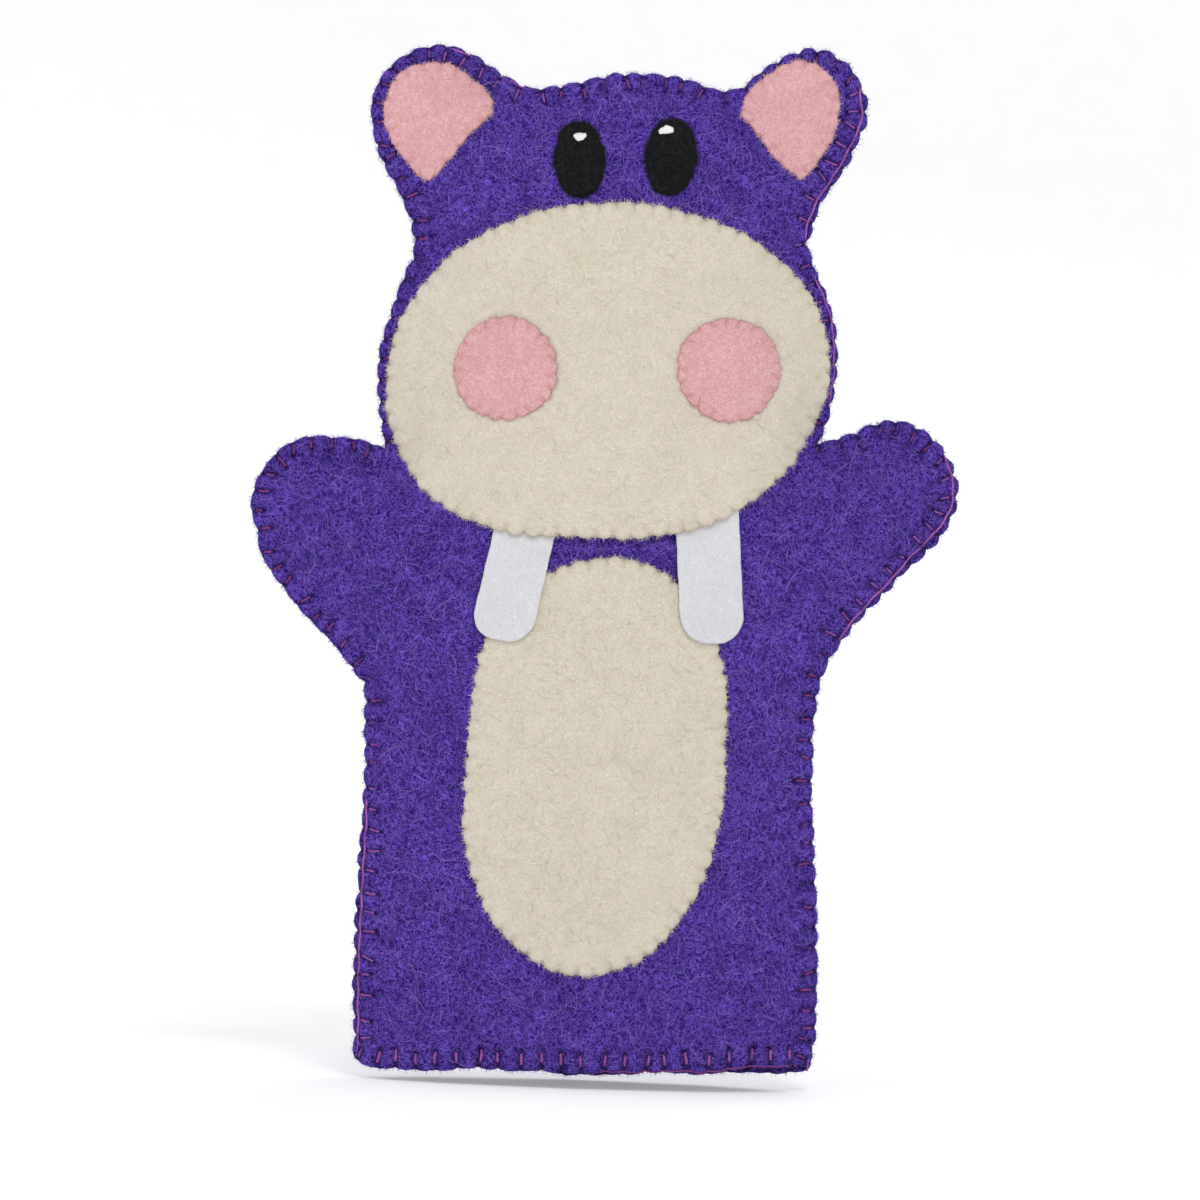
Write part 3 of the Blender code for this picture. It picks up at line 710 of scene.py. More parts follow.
def joined(parts):
    """Several (points, faces) pairs as one."""
    co, faces, count = [], [], 0
    for c, f in parts:
        co.append(c)
        faces.append(f + count)
        count += len(c)
    return np.vstack(co), np.vstack(faces)


# ---------------------------------------------------------------- which body each piece follows

def unit(v):
    v = np.array(v, float)
    return v / np.linalg.norm(v)


def beyond(a, b, reach, far_side):
    """The middle of the fold from a to b, and a point reach further out on the side of far_side, both in the
    plane y = 0.
    """
    a, b = np.array(a), np.array(b)
    across = unit([-(b - a)[1], (b - a)[0]])
    if (np.array(far_side) - a) @ across < 0:
        across = -across
    start = (a + b) / 2
    end = start + reach * across
    return (start[0], 0, start[1]), (end[0], 0, end[1])


HINGES = {
    "head": ("torso", (0, 0, NECK_FOLD), (0, 0, NECK_END)),
    "arm_left": ("torso", *beyond(LEFT_ARMPIT, LEFT_NOTCH, 16, LEFT_PAW[:2])),
    "arm_right": ("torso", *beyond(RIGHT_ARMPIT, RIGHT_NOTCH, 16, RIGHT_PAW[:2])),
    "ear_left": ("head", *beyond(LEFT_EAR_LOW, LEFT_EAR_HIGH, 12, LEFT_EAR[:2])),
    "ear_right": ("head", *beyond(RIGHT_EAR_LOW, RIGHT_EAR_HIGH, 12, RIGHT_EAR[:2])),
    "tooth_left": ("torso", (-18.5, -18.8, 135.0), (-20.7, -18.8, 123.7)),
    "tooth_right": ("torso", (26.4, -17.8, 135.6), (27.3, -17.8, 124.1)),
}


def attach(thing, body, bends=True):
    if body == "torso" or not bends:
        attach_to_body(thing, body)
        return
    base, start, end = HINGES[body]
    Vector(start) * MM
    Vector(end) * MM
    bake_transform(thing)


def past_fold(p, body):
    """How far points lie past a body's fold."""
    _, start, end = HINGES[body]
    start, end = np.array(start)[[0, 2]], np.array(end)[[0, 2]]
    return (p - start) @ unit(end - start)


def body_at(p):
    """The body that felt at these places belongs to."""
    found = np.full(len(p), "torso", dtype="<U10")
    found[p[:, 1] > NECK_FOLD] = "head"
    for side, out in (("left", -1), ("right", 1)):
        arm = (past_fold(p, "arm_" + side) > 0) & (p[:, 0] * out > 50) & (p[:, 1] > 88)
        arm &= p[:, 1] < 157 + np.maximum(0, p[:, 0] * out - 57) * 2
        found[arm] = "arm_" + side
        ear = (past_fold(p, "ear_" + side) > 0) & (p[:, 1] > 200)
        found[ear] = "ear_" + side
    return found


# ---------------------------------------------------------------- materials

def srgb(r, g, b):
    c = np.array([r, g, b]) / 255.0
    low, high = c / 12.92, ((c + 0.055) / 1.055) ** 2.4
    return tuple(np.where(c <= 0.04045, low, high))


class Nodes:
    def __init__(self, name):
        self.material = bpy.data.materials.new(name)
        self.material.use_nodes = True
        self.tree = self.material.node_tree
        self.tree.nodes.clear()

    def add(self, kind, inputs=None, **settings):
        node = self.tree.nodes.new(kind)
        for key, value in settings.items():
            setattr(node, key, value)
        for key, value in (inputs or {}).items():
            socket = node.inputs[key]
            if isinstance(value, bpy.types.NodeSocket):
                self.tree.links.new(value, socket)
            else:
                socket.default_value = value
        return node

    def maths(self, operation, a, b, clamp=False):
        node = self.add("ShaderNodeMath", {0: a, 1: b}, operation=operation, use_clamp=clamp)
        return node.outputs[0]

    def vectors(self, operation, a, b=None, scale=None):
        inputs = {k: v for k, v in enumerate((a, b)) if v is not None}
        if scale is not None:
            inputs["Scale"] = scale
        return self.add("ShaderNodeVectorMath", inputs, operation=operation).outputs[0]

    def noise(self, vector, scale, detail=2.0, roughness=0.5, out="Fac"):
        inputs = {"Vector": vector, "Scale": scale, "Detail": detail, "Roughness": roughness}
        return self.add("ShaderNodeTexNoise", inputs).outputs[out]

    def fit(self, value, low, high, to_low=0.0, to_high=1.0):
        inputs = {"Value": value, "From Min": low, "From Max": high, "To Min": to_low, "To Max": to_high}
        return self.add("ShaderNodeMapRange", inputs, interpolation_type="SMOOTHSTEP").outputs[0]

    def mix(self, factor, a, b):
        node = self.tree.nodes.new("ShaderNodeMix")
        node.data_type = "RGBA"
        for socket, value in ((node.inputs[0], factor), (node.inputs[6], a), (node.inputs[7], b)):
            if isinstance(value, bpy.types.NodeSocket):
                self.tree.links.new(value, socket)
            elif isinstance(value, (int, float)):
                socket.default_value = value
            else:
                socket.default_value = (*value, 1.0)
        return node.outputs[2]

    def rest(self):
        return self.add("ShaderNodeAttribute", attribute_name="rest").outputs["Vector"]

    def finish(self, colour, height, depth, sheen, tint, rough=0.9, specular=0.15):
        bump = self.add("ShaderNodeBump", {"Height": height, "Strength": 1.0, "Distance": depth * MM})
        shader = self.add(
            "ShaderNodeBsdfPrincipled",
            {
                "Base Color": colour,
                "Roughness": rough,
                "Normal": bump.outputs[0],
                "Specular IOR Level": specular,
                "Sheen Weight": sheen,
                "Sheen Roughness": 0.45,
                "Sheen Tint": (*tint, 1.0),
            },
        )
        self.add("ShaderNodeOutputMaterial", {"Surface": shader.outputs[0]})
        return self.material


def felt(name, deep, middle, light, fibre=0.5, depth=0.12, sheen=0.02, mottle=0.3, fine=4.2, bare=0.55):
    """Felted wool: short matted fibres at every angle over a soft mottled ground."""
    lanes = 5
    n = Nodes(name)
    rest = n.rest()
    warp = n.noise(rest, 0.9, 1.0, 0.5, "Color")
    warp = n.vectors("SUBTRACT", warp, (0.5, 0.5, 0.5))
    bent = n.vectors("ADD", rest, n.vectors("SCALE", warp, scale=1.3))
    total = None
    for k in range(lanes):
        turn = n.add(
            "ShaderNodeVectorRotate",
            {"Vector": bent, "Axis": (0.0, 1.0, 0.0), "Angle": 0.4 + k * math.pi / lanes},
        ).outputs[0]
        lane = n.vectors("MULTIPLY", turn, (0.17 * fine, 0.35, fine))
        lane = n.vectors("ADD", lane, (3.1 * k, 7.7 * k, 1.9 * k))
        ridge = n.fit(n.noise(lane, 1.0, 0.0), bare, bare + 0.2)
        total = ridge if total is None else n.maths("MAXIMUM", total, ridge)
    grain = n.noise(rest, 3.1, 3.0, 0.75)
    patch = n.noise(rest, 0.13, 3.0, 0.62)
    ground = n.mix(n.fit(grain, 0.32, 0.66), deep, middle)
    cloud = n.fit(patch, 0.34, 0.66)
    ground = n.mix(n.maths("MULTIPLY", cloud, mottle), ground, middle)
    amount = n.maths("MULTIPLY", total, n.fit(grain, 0.25, 0.7, 0.45, 1.0))
    amount = n.maths("MULTIPLY", amount, n.fit(patch, 0.34, 0.66, 0.7, 1.0))
    colour = n.mix(n.maths("MULTIPLY", amount, fibre), ground, light)
    # painted shade: the felt's colour is darkened beside the stitches, where their hollows would lie in
    # shadow
    painted_shade = n.add("ShaderNodeAttribute", attribute_name="painted_shade").outputs["Fac"]
    colour = n.mix(painted_shade, colour, tuple(0.22 * v for v in deep))
    height = n.maths("ADD", n.maths("MULTIPLY", grain, 0.6), n.maths("MULTIPLY", total, 0.4))
    return n.finish(colour, height, depth, sheen, light)


def strand_look(name, dark, light):
    """Loose fibres, each of its own shade."""
    n = Nodes(name)
    shade = n.add("ShaderNodeAttribute", attribute_name="shade").outputs["Fac"]
    grain = n.noise(n.rest(), 0.9, 2.0, 0.6)
    mixed = n.maths("ADD", n.maths("MULTIPLY", grain, 0.5), n.maths("SUBTRACT", shade, 0.25), clamp=True)
    return n.finish(n.mix(mixed, dark, light), grain, 0.03, 0.0, light, rough=0.7)


def thread_look(name, dark, light):
    """Cotton sewing thread."""
    n = Nodes(name)
    rest = n.rest()
    fine = n.noise(rest, 3.4, 3.0, 0.65)
    wide = n.noise(rest, 0.25, 2.0, 0.5)
    mixed = n.maths("ADD", n.maths("MULTIPLY", fine, 0.7), n.maths("MULTIPLY", wide, 0.4))
    colour = n.mix(n.fit(mixed, 0.35, 0.75), dark, light)
    return n.finish(colour, fine, 0.08, 0.1, light, rough=0.55, specular=0.35)


PURPLE = felt(
    "purple_felt", srgb(8, 0, 50), srgb(44, 13, 112), srgb(128, 94, 220),
    fibre=0.95, depth=0.3, fine=4.6, bare=0.56, mottle=0.5,
)
CREAM = felt(
    "cream_felt", srgb(188, 179, 160), srgb(209, 200, 183), srgb(226, 218, 204),
    depth=0.1,
)
PINK = felt(
    "pink_felt", srgb(190, 136, 137), srgb(211, 161, 163), srgb(238, 194, 196),
    fibre=0.6,
)
BLACK = felt(
    "black_felt", srgb(4, 4, 5), srgb(12, 12, 13), srgb(52, 52, 56),
    sheen=0.0, bare=0.6, mottle=0.5,
)
WHITE = felt(
    "white_felt", srgb(194, 194, 198), srgb(209, 208, 211), srgb(228, 228, 231),
    depth=0.1,
)
GLINT = felt(
    "glint_thread", srgb(226, 226, 228), srgb(246, 246, 247), srgb(252, 252, 253),
    depth=0.3, sheen=0.0, mottle=0.5,
)
PURPLE_STRAND = strand_look("purple_strands", srgb(44, 10, 118), srgb(164, 130, 238))
PALE_STRAND = strand_look("pale_strands", srgb(110, 86, 190), srgb(178, 158, 232))
CREAM_STRAND = strand_look("cream_strands", srgb(208, 199, 182), srgb(232, 225, 212))
PINK_STRAND = strand_look("pink_strands", srgb(216, 166, 167), srgb(244, 212, 213))
BLACK_STRAND = strand_look("black_strands", srgb(10, 10, 11), srgb(60, 60, 64))
# PLUM_THREAD and LIT_THREAD are one plum thread in two copies: LIT_THREAD is painted lighter, as painted
# light, for the runs along the edge, the bare front legs and the hem stitches
PLUM_THREAD = thread_look("plum_thread", srgb(84, 24, 86), srgb(150, 66, 140))
LIT_THREAD = thread_look("lit_plum_thread", srgb(108, 44, 124), srgb(176, 100, 184))
ECRU_THREAD = thread_look("ecru_thread", srgb(196, 176, 150), srgb(226, 212, 190))
ROSE_THREAD = thread_look("rose_thread", srgb(196, 120, 122), srgb(232, 172, 172))


# ---------------------------------------------------------------- the two big panels

def nearest(points, place):
    return int(np.argmin(((points - np.array(place)) ** 2).sum(1)))


FOLDS = {
    "neck": (LEFT_NOTCH, RIGHT_NOTCH),
    "arm_left": (LEFT_ARMPIT, LEFT_NOTCH),
    "arm_right": (RIGHT_ARMPIT, RIGHT_NOTCH),
    "ear_left": (LEFT_EAR_LOW, LEFT_EAR_HIGH),
    "ear_right": (RIGHT_EAR_LOW, RIGHT_EAR_HIGH),
}
MIDDLES = {
    "torso": (0, 80),
    "head": (0, 200),
    "arm_left": LEFT_PAW[:2],
    "arm_right": RIGHT_PAW[:2],
    "ear_left": LEFT_EAR[:2],
    "ear_right": RIGHT_EAR[:2],
}
INSETS = (0.12, 0.3, 0.55, 0.85, 1.2, 1.6, 2.05, 2.5, 3.0, 3.5, 4.0, 4.6)


def big_panel(face):
    """One layer of the puppet as one sheet, cut at the folds into the parts that each body carries."""
    ring = RINGS[face]
    lines = []
    for a, b in FOLDS.values():
        a, b = ring[nearest(ring, a)], ring[nearest(ring, b)]
        count = round(np.hypot(*(b - a)) / 0.7)
        lines.append(a + (b - a) * np.linspace(0, 1, count + 1)[:, None])
    net = net_of(ring, INSETS, 1.0, lines)
    verts, faces = net
    label = pieces_of(verts, faces, lines)
    outer, inner = panel_outer(verts, face), panel_inner(verts, face)
    co, whole, made = shell(net, outer, inner, face, label)
    normals = vertex_normals(co, whole)
    # painted shade beside the stitches, kept on each point for the felt's colour
    painted_shade = shaded(co[:, [0, 2]], zip(LEGS[face], (0.62, 0.95)))
    middles = verts[faces].mean(1)
    found = {}
    for body, place in MIDDLES.items():
        part = label[nearest(middles, place)]
        used, own = np.unique(made[part], return_inverse=True)
        a, b, c = (verts[faces[label == part][:, k]] for k in range(3))
        area = abs(np.cross(b - a, c - a).sum()) / 2
        found[body] = (co[used], own.reshape(-1, 3), normals[used], area, painted_shade[used])
    return found


for face, word in FACES:
    for body, (co, faces, normals, area, painted_shade) in big_panel(face).items():
        name = f"{word}_{body}_felt"
        thing = build(name, co, faces, PURPLE, "purple_felt", normals, {"painted_shade": painted_shade})
        attach(thing, body)
        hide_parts(f"{word}_{body}_panel")


# ---------------------------------------------------------------- threads of the seam and the hem

def edge_thread(stroke, seed):
    """The thread that links the stitches along one stroke of the edge."""
    own = np.flatnonzero(stroke_of == stroke_names.index(stroke))
    short = 2.2 if stroke == "side_right" else 0.4
    s = np.arange(ring_s[own[0]] + 0.4, ring_s[own[-1]] + STEP - short, THREAD_STEP)
    zone = np.clip(front_inset(s) / 0.7, 0, 1)
    base, out = ring_at(s, base_ring), ring_at(s, ring_out)
    depth = -0.55 * (1 - zone) - (front_inset(s) + 0.1) * zone
    p = base + out * (depth + 0.12 * np.sin(s * 0.9 + 2 * seed) * zone)[:, None]
    top = np.where(inside(p, front_ring), panel_outer(p, -1), 0.0) + 0.14
    y = -np.maximum(0.15 + 1.2 * zone, top * zone) + 0.08 * np.sin(s * 1.3 + seed)
    return np.stack([p[:, 0], y, p[:, 1]], axis=1)


def leg_paths(legs, face, bare, hem=False):
    """Each stitch's leg over one layer of felt, from the edge to where it dives in."""
    rim, way, size = legs
    t = np.linspace(0.0, 1.0, 26)
    first = 0.3 if hem else rng.uniform(0.12, 0.34, len(rim))[:, None] * (1 - 0.35 * bare[:, None])
    t = first + (1 - first) * t[None, :] + np.zeros((len(rim), 1))
    p = rim[:, None] + way[:, None] * (t[..., None] * size[:, None, None])
    sway = rng.normal(0, 0.12, len(rim))[:, None] * np.sin(math.pi * np.clip(t, 0, 1))
    p = p + np.stack([-way[:, 1], way[:, 0]], 1)[:, None] * sway[..., None]
    flat = p.reshape(-1, 2)
    y = panel_outer(flat, face).reshape(t.shape) + (0.2 if hem else 0.12)
    sunk = rng.uniform(-0.1, 0.16, (len(rim), 1))
    dive = 1.2 * smooth(0.86, 1.0, t) + 0.8 * smooth(0.12, 0.0, t - t[:, :1])
    y = y - sunk * smooth(0.1, 0.5, t) - dive
    return np.stack([p[..., 0], face * y, p[..., 1]], axis=-1)


mark_stroke = np.array(stroke_names)[stroke_of[np.searchsorted(ring_s, seam_marks % ring_total) - 1]]
front_bare = np.clip(front_inset(seam_marks) / 0.55, 0, 1)
front_paths = leg_paths(front_legs, -1, front_bare)
back_paths = leg_paths(back_legs, 1, np.zeros(len(seam_marks)))


def thread(name, body, paths, radius, material, slot, nodes=(), twist=1.25, sides=8):
    """Runs of thread along paths, as one object."""
    co, faces = joined([tube(path, radius, sides, twist) for path in paths])
    thing = build(name, co, faces, material, slot)
    attach(thing, body)
    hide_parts(*nodes)


SEAMS = [
    ("torso", "side_left", "torso_left", "side_seam_thread_left"),
    ("torso", "side_right", "torso_right", "side_seam_thread_right"),
    ("arm_left", "arm_left", "arm_left", "arm_seam_thread_left"),
    ("arm_right", "arm_right", "arm_right", "arm_seam_thread_right"),
    ("head", "cheek_left", "cheek_left", "cheek_seam_thread_left"),
    ("head", "cheek_right", "cheek_right", "cheek_seam_thread_right"),
    ("head", "crown", "crown", "crown_seam_thread"),
    ("ear_left", "ear_left", "ear_left", "ear_seam_thread_left"),
    ("ear_right", "ear_right", "ear_right", "ear_seam_thread_right"),
]
for n, (body, stroke, name, node) in enumerate(SEAMS):
    chosen = mark_stroke == stroke
    # lit: the bare front legs and the edge run get the painted-light copy of the thread; dull: the same
    # thread without it
    lit = chosen & (front_bare > 0.3)
    dull = [*front_paths[chosen & ~lit], *back_paths[chosen]]
    thread(f"{name}_seam_stitches", body, dull, SEAM_THREAD, PLUM_THREAD, "plum_thread", [node])
    shown = [edge_thread(stroke, n), *front_paths[lit]]
    thread(f"{name}_edge_thread", body, shown, EDGE_THREAD, LIT_THREAD, "plum_thread")

for face, word in FACES:
    s = np.arange(hem_start + 3.0, ring_total - 3.0, THREAD_STEP)
    p = ring_at(s, RINGS[face])
    mid = panel_mid(p + np.array([0, 0.4]), face)
    shown = smooth(-16, 14, p[:, 0]) if face < 0 else 0.6 * np.ones(len(s))
    y = mid + 0.62 * shown - 0.5 * (1 - shown)
    run = np.stack([p[:, 0], face * y, p[:, 1] + 0.12 + 0.2 * (1 - shown)], axis=1)
    thread(f"{word}_hem_edge_thread", "torso", [run], HEM_EDGE_THREAD, PLUM_THREAD, "plum_thread")
    paths = leg_paths(LEGS[face][1], face, np.zeros(len(hem_marks)), True)
    # the hem stitches use the lighter copy of the thread: painted light
    thread(
        f"{word}_hem_stitches", "torso", list(paths), HEM_THREAD, LIT_THREAD, "plum_thread",
        [f"{word}_hem_stitching"], twist=1.6,
    )


# ---------------------------------------------------------------- patches

def ellipse(cx, cz, hx, hz, turn, step, square=2.0):
    """A smooth oval. A power above two fills its corners."""
    a = np.radians(np.arange(0, 360, 0.5))
    c, s = np.cos(a), np.sin(a)
    x = hx * np.sign(c) * np.abs(c) ** (2 / square)
    z = hz * np.sign(s) * np.abs(s) ** (2 / square)
    t = math.radians(turn)
    ring = np.stack([cx + x * math.cos(t) - z * math.sin(t), cz + x * math.sin(t) + z * math.cos(t)], 1)
    return spaced(np.vstack([ring, ring[:1]]), step)[:-1]


def rooted(x, z):
    """How far the teeth under it lift the muzzle's lower edge."""
    return 1.5 * np.clip((40 - np.abs(x - 4)) / 8, 0, 1) * np.clip((158 - z) / 16, 0, 1)


def sewn_ring(ring, pitch, size):
    """A patch outline with its whip stitches: the drawn-in ring, and where the stitches sit."""
    s = along_ring(ring)
    total = s[-1]
    marks = stitch_marks(total, pitch, 0.35)
    sizes = rng.uniform(0.7, 1.3, len(marks)) * size
    push = scallop(s[:-1], marks, total, sizes, pull=0.5, power=0.8)
    for wave, amount in ((23.0, 0.16), (11.0, 0.1), (5.3, 0.07), (2.6, 0.06), (1.7, 0.05), (1.1, 0.05)):
        phase = rng.uniform(0, 6.28)
        push = push + amount * np.sin(2 * math.pi * round(total / wave) * s[:-1] / total + phase)
    out = outward(ring)
    moved = ring + out * push[:, None]
    rim = read_ring(marks % total, s, moved)
    way = -read_ring(marks % total, s, out)
    way /= np.hypot(*way.T)[:, None]
    way = turned(way, rng.normal(0, 14, len(marks)))
    return moved, (rim, way, rng.uniform(1.0, 1.8, len(marks)))


PATCH_INSETS = (0.1, 0.25, 0.45, 0.7, 1.0, 1.35, 1.75, 2.2, 2.7)


def patch_surface(ring, base, thick, legs=None, edge=1.5, foot=0.15, seed=2.0):
    """Returns the outer surface of a patch as a function of place."""
    def outer(p):
        d = ring_distance(p, ring, 8.0) * inside(p, ring)
        full = foot + (thick - foot) * rounded(d, edge)
        lump = 0.5 * lumps(p, seed) * smooth(0, 6, d)
        out = base(p) + full + lump + 0.1 * np.exp(-(((d - 2.2) / 1.2) ** 2))
        if legs is not None:
            out = out - pulled_in(p, legs, 0.65, 0.6, 0.15)
        return out
    return outer


def patch(
    name, ring, base, thick, material, slot, body, node,
    bends=True, spacing=1.0, insets=PATCH_INSETS, sheet=True, **more
):
    """One felt patch, sewn or glued on a surface. Returns its outer surface."""
    outer = patch_surface(ring, base, thick, **more)
    net = net_of(ring, insets, spacing)
    verts = net[0]
    top, low = outer(verts), base(verts) + 0.03
    co, _, made = shell(net, np.maximum(top, low + 0.05), low, -1)
    thing = build(name, co, made[0], material, slot)
    attach(thing, body, bends)
    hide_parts(node)
    if sheet:
        area = abs(twice_area(ring)) / 2
    return outer


def whip(name, legs, outer, under, body, node, material, slot):
    """Small stitches over a patch's edge."""
    rim, way, size = legs
    t = np.linspace(-0.3, 1.0, 14)
    p = rim[:, None] + way[:, None] * (t[None, :, None] * size[:, None, None])
    flat = p.reshape(-1, 2)
    top = outer(flat).reshape(len(rim), len(t))
    low = under(flat).reshape(len(rim), len(t))
    over = smooth(-0.16, 0.12, t)[None, :]
    y = (low + 0.05) * (1 - over) + (top + 0.06) * over
    y = y - 0.7 * smooth(0.8, 1.0, t)[None, :] - 0.5 * smooth(-0.12, -0.3, t)[None, :]
    paths = np.stack([p[..., 0], -y, p[..., 1]], axis=-1)
    thread(name, body, list(paths), WHIP_THREAD, material, slot, [node], twist=0, sides=6)


muzzle_ring, muzzle_legs = sewn_ring(spaced(MUZZLE, 0.35, closed=True), 4.4, 0.7)
belly_ring, belly_legs = sewn_ring(spaced(BELLY, 0.35, closed=True), 4.5, 0.75)


def muzzle_base(p):
    return panel_top(p) + 0.05 + rooted(p[:, 0], p[:, 1])


muzzle_top = patch(
    "muzzle_felt", muzzle_ring, muzzle_base, PATCH, CREAM, "cream_felt", "head", "muzzle_patch",
    legs=muzzle_legs,
)
whip(
    "muzzle_stitches", muzzle_legs, muzzle_top, panel_top, "head", "muzzle_stitching",
    ECRU_THREAD, "ecru_thread",
)
belly_top = patch(
    "belly_felt", belly_ring, lambda p: panel_top(p) + 0.05, PATCH, CREAM, "cream_felt", "torso",
    "belly_patch", legs=belly_legs, seed=3.0,
)
whip(
    "belly_stitches", belly_legs, belly_top, panel_top, "torso", "belly_stitching",
    ECRU_THREAD, "ecru_thread",
)


# ---------------------------------------------------------------- nostrils, ear linings, eyes, teeth

TRIMS = {side: [] for side in SIDES}

for side in SIDES:
    x, z = NOSTRILS[side]
    turn = 20 if side == "left" else 70
    disc = ellipse(x, z, NOSTRIL_RADIUS, NOSTRIL_RADIUS, turn=turn, step=0.35, square=2.03)
    ring, legs = sewn_ring(disc, 3.9, 0.35)
    top = patch(
        f"nostril_{side}_felt", ring, lambda p: muzzle_top(p) + 0.05, TRIM, PINK, "pink_felt", "head",
        f"nostril_{side}", legs=legs, edge=1.0, spacing=0.8, seed=4.0 + len(side),
    )
    TRIMS[side].append((ring, muzzle_top, f"nostril_{side}", "head"))
    whip(
        f"nostril_{side}_stitches", legs, top, muzzle_top, "head", f"nostril_stitching_{side}",
        ROSE_THREAD, "rose_thread",
    )


def ear_lining_ring(side):
    """A fan with a straight edge on each side of its low point, and a rounded top."""
    if side == "left":
        low = [(-46.3, 220.6), (-44.8, 221.0), (-41.2, 225.0), (-37.5, 229.7), (-34.0, 234.0), (-31.0, 237.4)]
        top = [(-30.7, 238.6), (-31.0, 240.9), (-33.4, 243.9), (-36.5, 246.4), (-39.1, 248.3)]
        top += [(-42.4, 249.3), (-46.5, 249.4)]
        back = [(-50.4, 248.8), (-53.8, 247.0), (-56.2, 244), (-57.1, 240.4), (-57.6, 236.5)]
        back += [(-57, 233.2), (-54.6, 228.2), (-51.0, 223.8), (-48.2, 221.3)]
    else:
        low = [(46.4, 223.7), (44.8, 224.5), (41.4, 227.6), (38.3, 230.8), (35.0, 234.9), (32.0, 238.3)]
        top = [(31.4, 239.6), (31.9, 242.6), (33.9, 245.8), (36.4, 248.2), (39.3, 250.9)]
        top += [(42.6, 252.8), (46.5, 253.2)]
        back = [(50.4, 252.0), (53.4, 249.4), (55.3, 246.0), (56.1, 242.4), (55.5, 239)]
        back += [(54.6, 235.4), (52.6, 231.2), (50.0, 227.0), (48.2, 224.5)]
    ring = spaced(low + top + back, 0.35, closed=True)
    return ring[::-1] if twice_area(ring) < 0 else ring


for side in SIDES:
    ring, legs = sewn_ring(ear_lining_ring(side), 4.4, 0.35)
    top = patch(
        f"ear_lining_{side}_felt", ring, lambda p: panel_top(p) + 0.05, TRIM, PINK, "pink_felt",
        f"ear_{side}", f"ear_patch_{side}", legs=legs, edge=0.9, spacing=0.8, seed=6.0 + len(side),
    )
    TRIMS[side].append((ring, panel_top, f"ear_lining_{side}", f"ear_{side}"))
    whip(
        f"ear_lining_{side}_stitches", legs, top, panel_top, f"ear_{side}",
        f"ear_patch_stitching_{side}", ROSE_THREAD, "rose_thread",
    )


def soft_ring(ring, size, waves=(9.0, 4.0, 1.9, 1.1)):
    """A hand-cut outline, a little wavy."""
    s = along_ring(ring)
    push = 0
    for n, wave in enumerate(waves):
        phase = rng.uniform(0, 6.28)
        push = push + size / (n + 1) * np.sin(2 * math.pi * round(s[-1] / wave) * s[:-1] / s[-1] + phase)
    return ring + outward(ring) * push[:, None]


for side in SIDES:
    x, z, hx, hz, turn = EYES[side]
    ring = soft_ring(ellipse(x, z, hx, hz, turn=turn, step=0.25), 0.12)
    top = patch(
        f"eye_{side}_felt", ring, lambda p: panel_top(p) + 0.04, EYE, BLACK, "black_felt", "head",
        f"eye_{side}", bends=False, edge=0.9, spacing=0.6, seed=8.0, insets=(0.1, 0.25, 0.45, 0.7, 1.0, 1.4),
    )
    TRIMS[side].append((ring, panel_top, f"eye_{side}", "head"))
    gx, gz, gw, gh, gturn = GLINTS[side]
    dot = soft_ring(ellipse(gx, gz, gw, gh, turn=gturn, step=0.12), 0.13, (3.0, 1.7, 1.1))
    patch(
        f"eye_glint_{side}_felt", dot, lambda p, top=top: top(p) - 0.05, 0.45, GLINT, "white_felt", "head",
        f"eye_glint_{side}", bends=False, edge=0.4, foot=0.1, spacing=0.25, seed=9.0,
        insets=(0.08, 0.2, 0.35), sheet=False,
    )


def tooth_ring(side):
    """A tab with straight sides and a rounded tip, splayed about its top edge."""
    x, z, top, tip, length, splay = TEETH[side]
    right, left = (7.1, 5.9) if side == "left" else (6.6, 7.5)
    points = [(top, 7.5)] + [(top + (tip - top) * k, -length * k) for k in (0.2, 0.4, 0.6)]
    points += arc((tip - right, -length + right, right), 0, -90, 7)
    points += arc((left - tip, -length + left, left), 270, 180, 7)
    points += [(-top - (tip - top) * k, -length * k) for k in (0.6, 0.4, 0.2)] + [(-top, 7.5)]
    shape = spaced(points, 0.4)
    line = np.linspace(shape[-1], shape[0], 36)[1:-1]
    shape = np.vstack([shape, line])
    t = math.radians(splay)
    a, b = shape.T
    c, s = math.cos(t), math.sin(t)
    ring = np.stack([x + a * c - b * s, z + a * s + b * c], 1)
    return ring[::-1]


def tooth_base(p):
    """What a tooth lies on: the panel, rising to the belly patch near its edge."""
    within = inside(p, belly_ring)
    near = smooth(8.0, 0.0, ring_distance(p, belly_ring, 9.0) * ~within)
    rise = 1.55 * smooth(134, 127, p[:, 1]) * near
    return np.maximum(panel_top(p) + 0.05 + rise, belly_top(p) * within + 0.05)


for side in SIDES:
    patch(
        f"tooth_{side}_felt", soft_ring(tooth_ring(side), 0.05), tooth_base, TRIM, WHITE, "white_felt",
        f"tooth_{side}", f"tooth_{side}", edge=0.35, foot=0.7, spacing=0.9, seed=10.0 + len(side),
        insets=(0.08, 0.2, 0.4, 0.8, 1.4),
    )


# ---------------------------------------------------------------- loose fibres

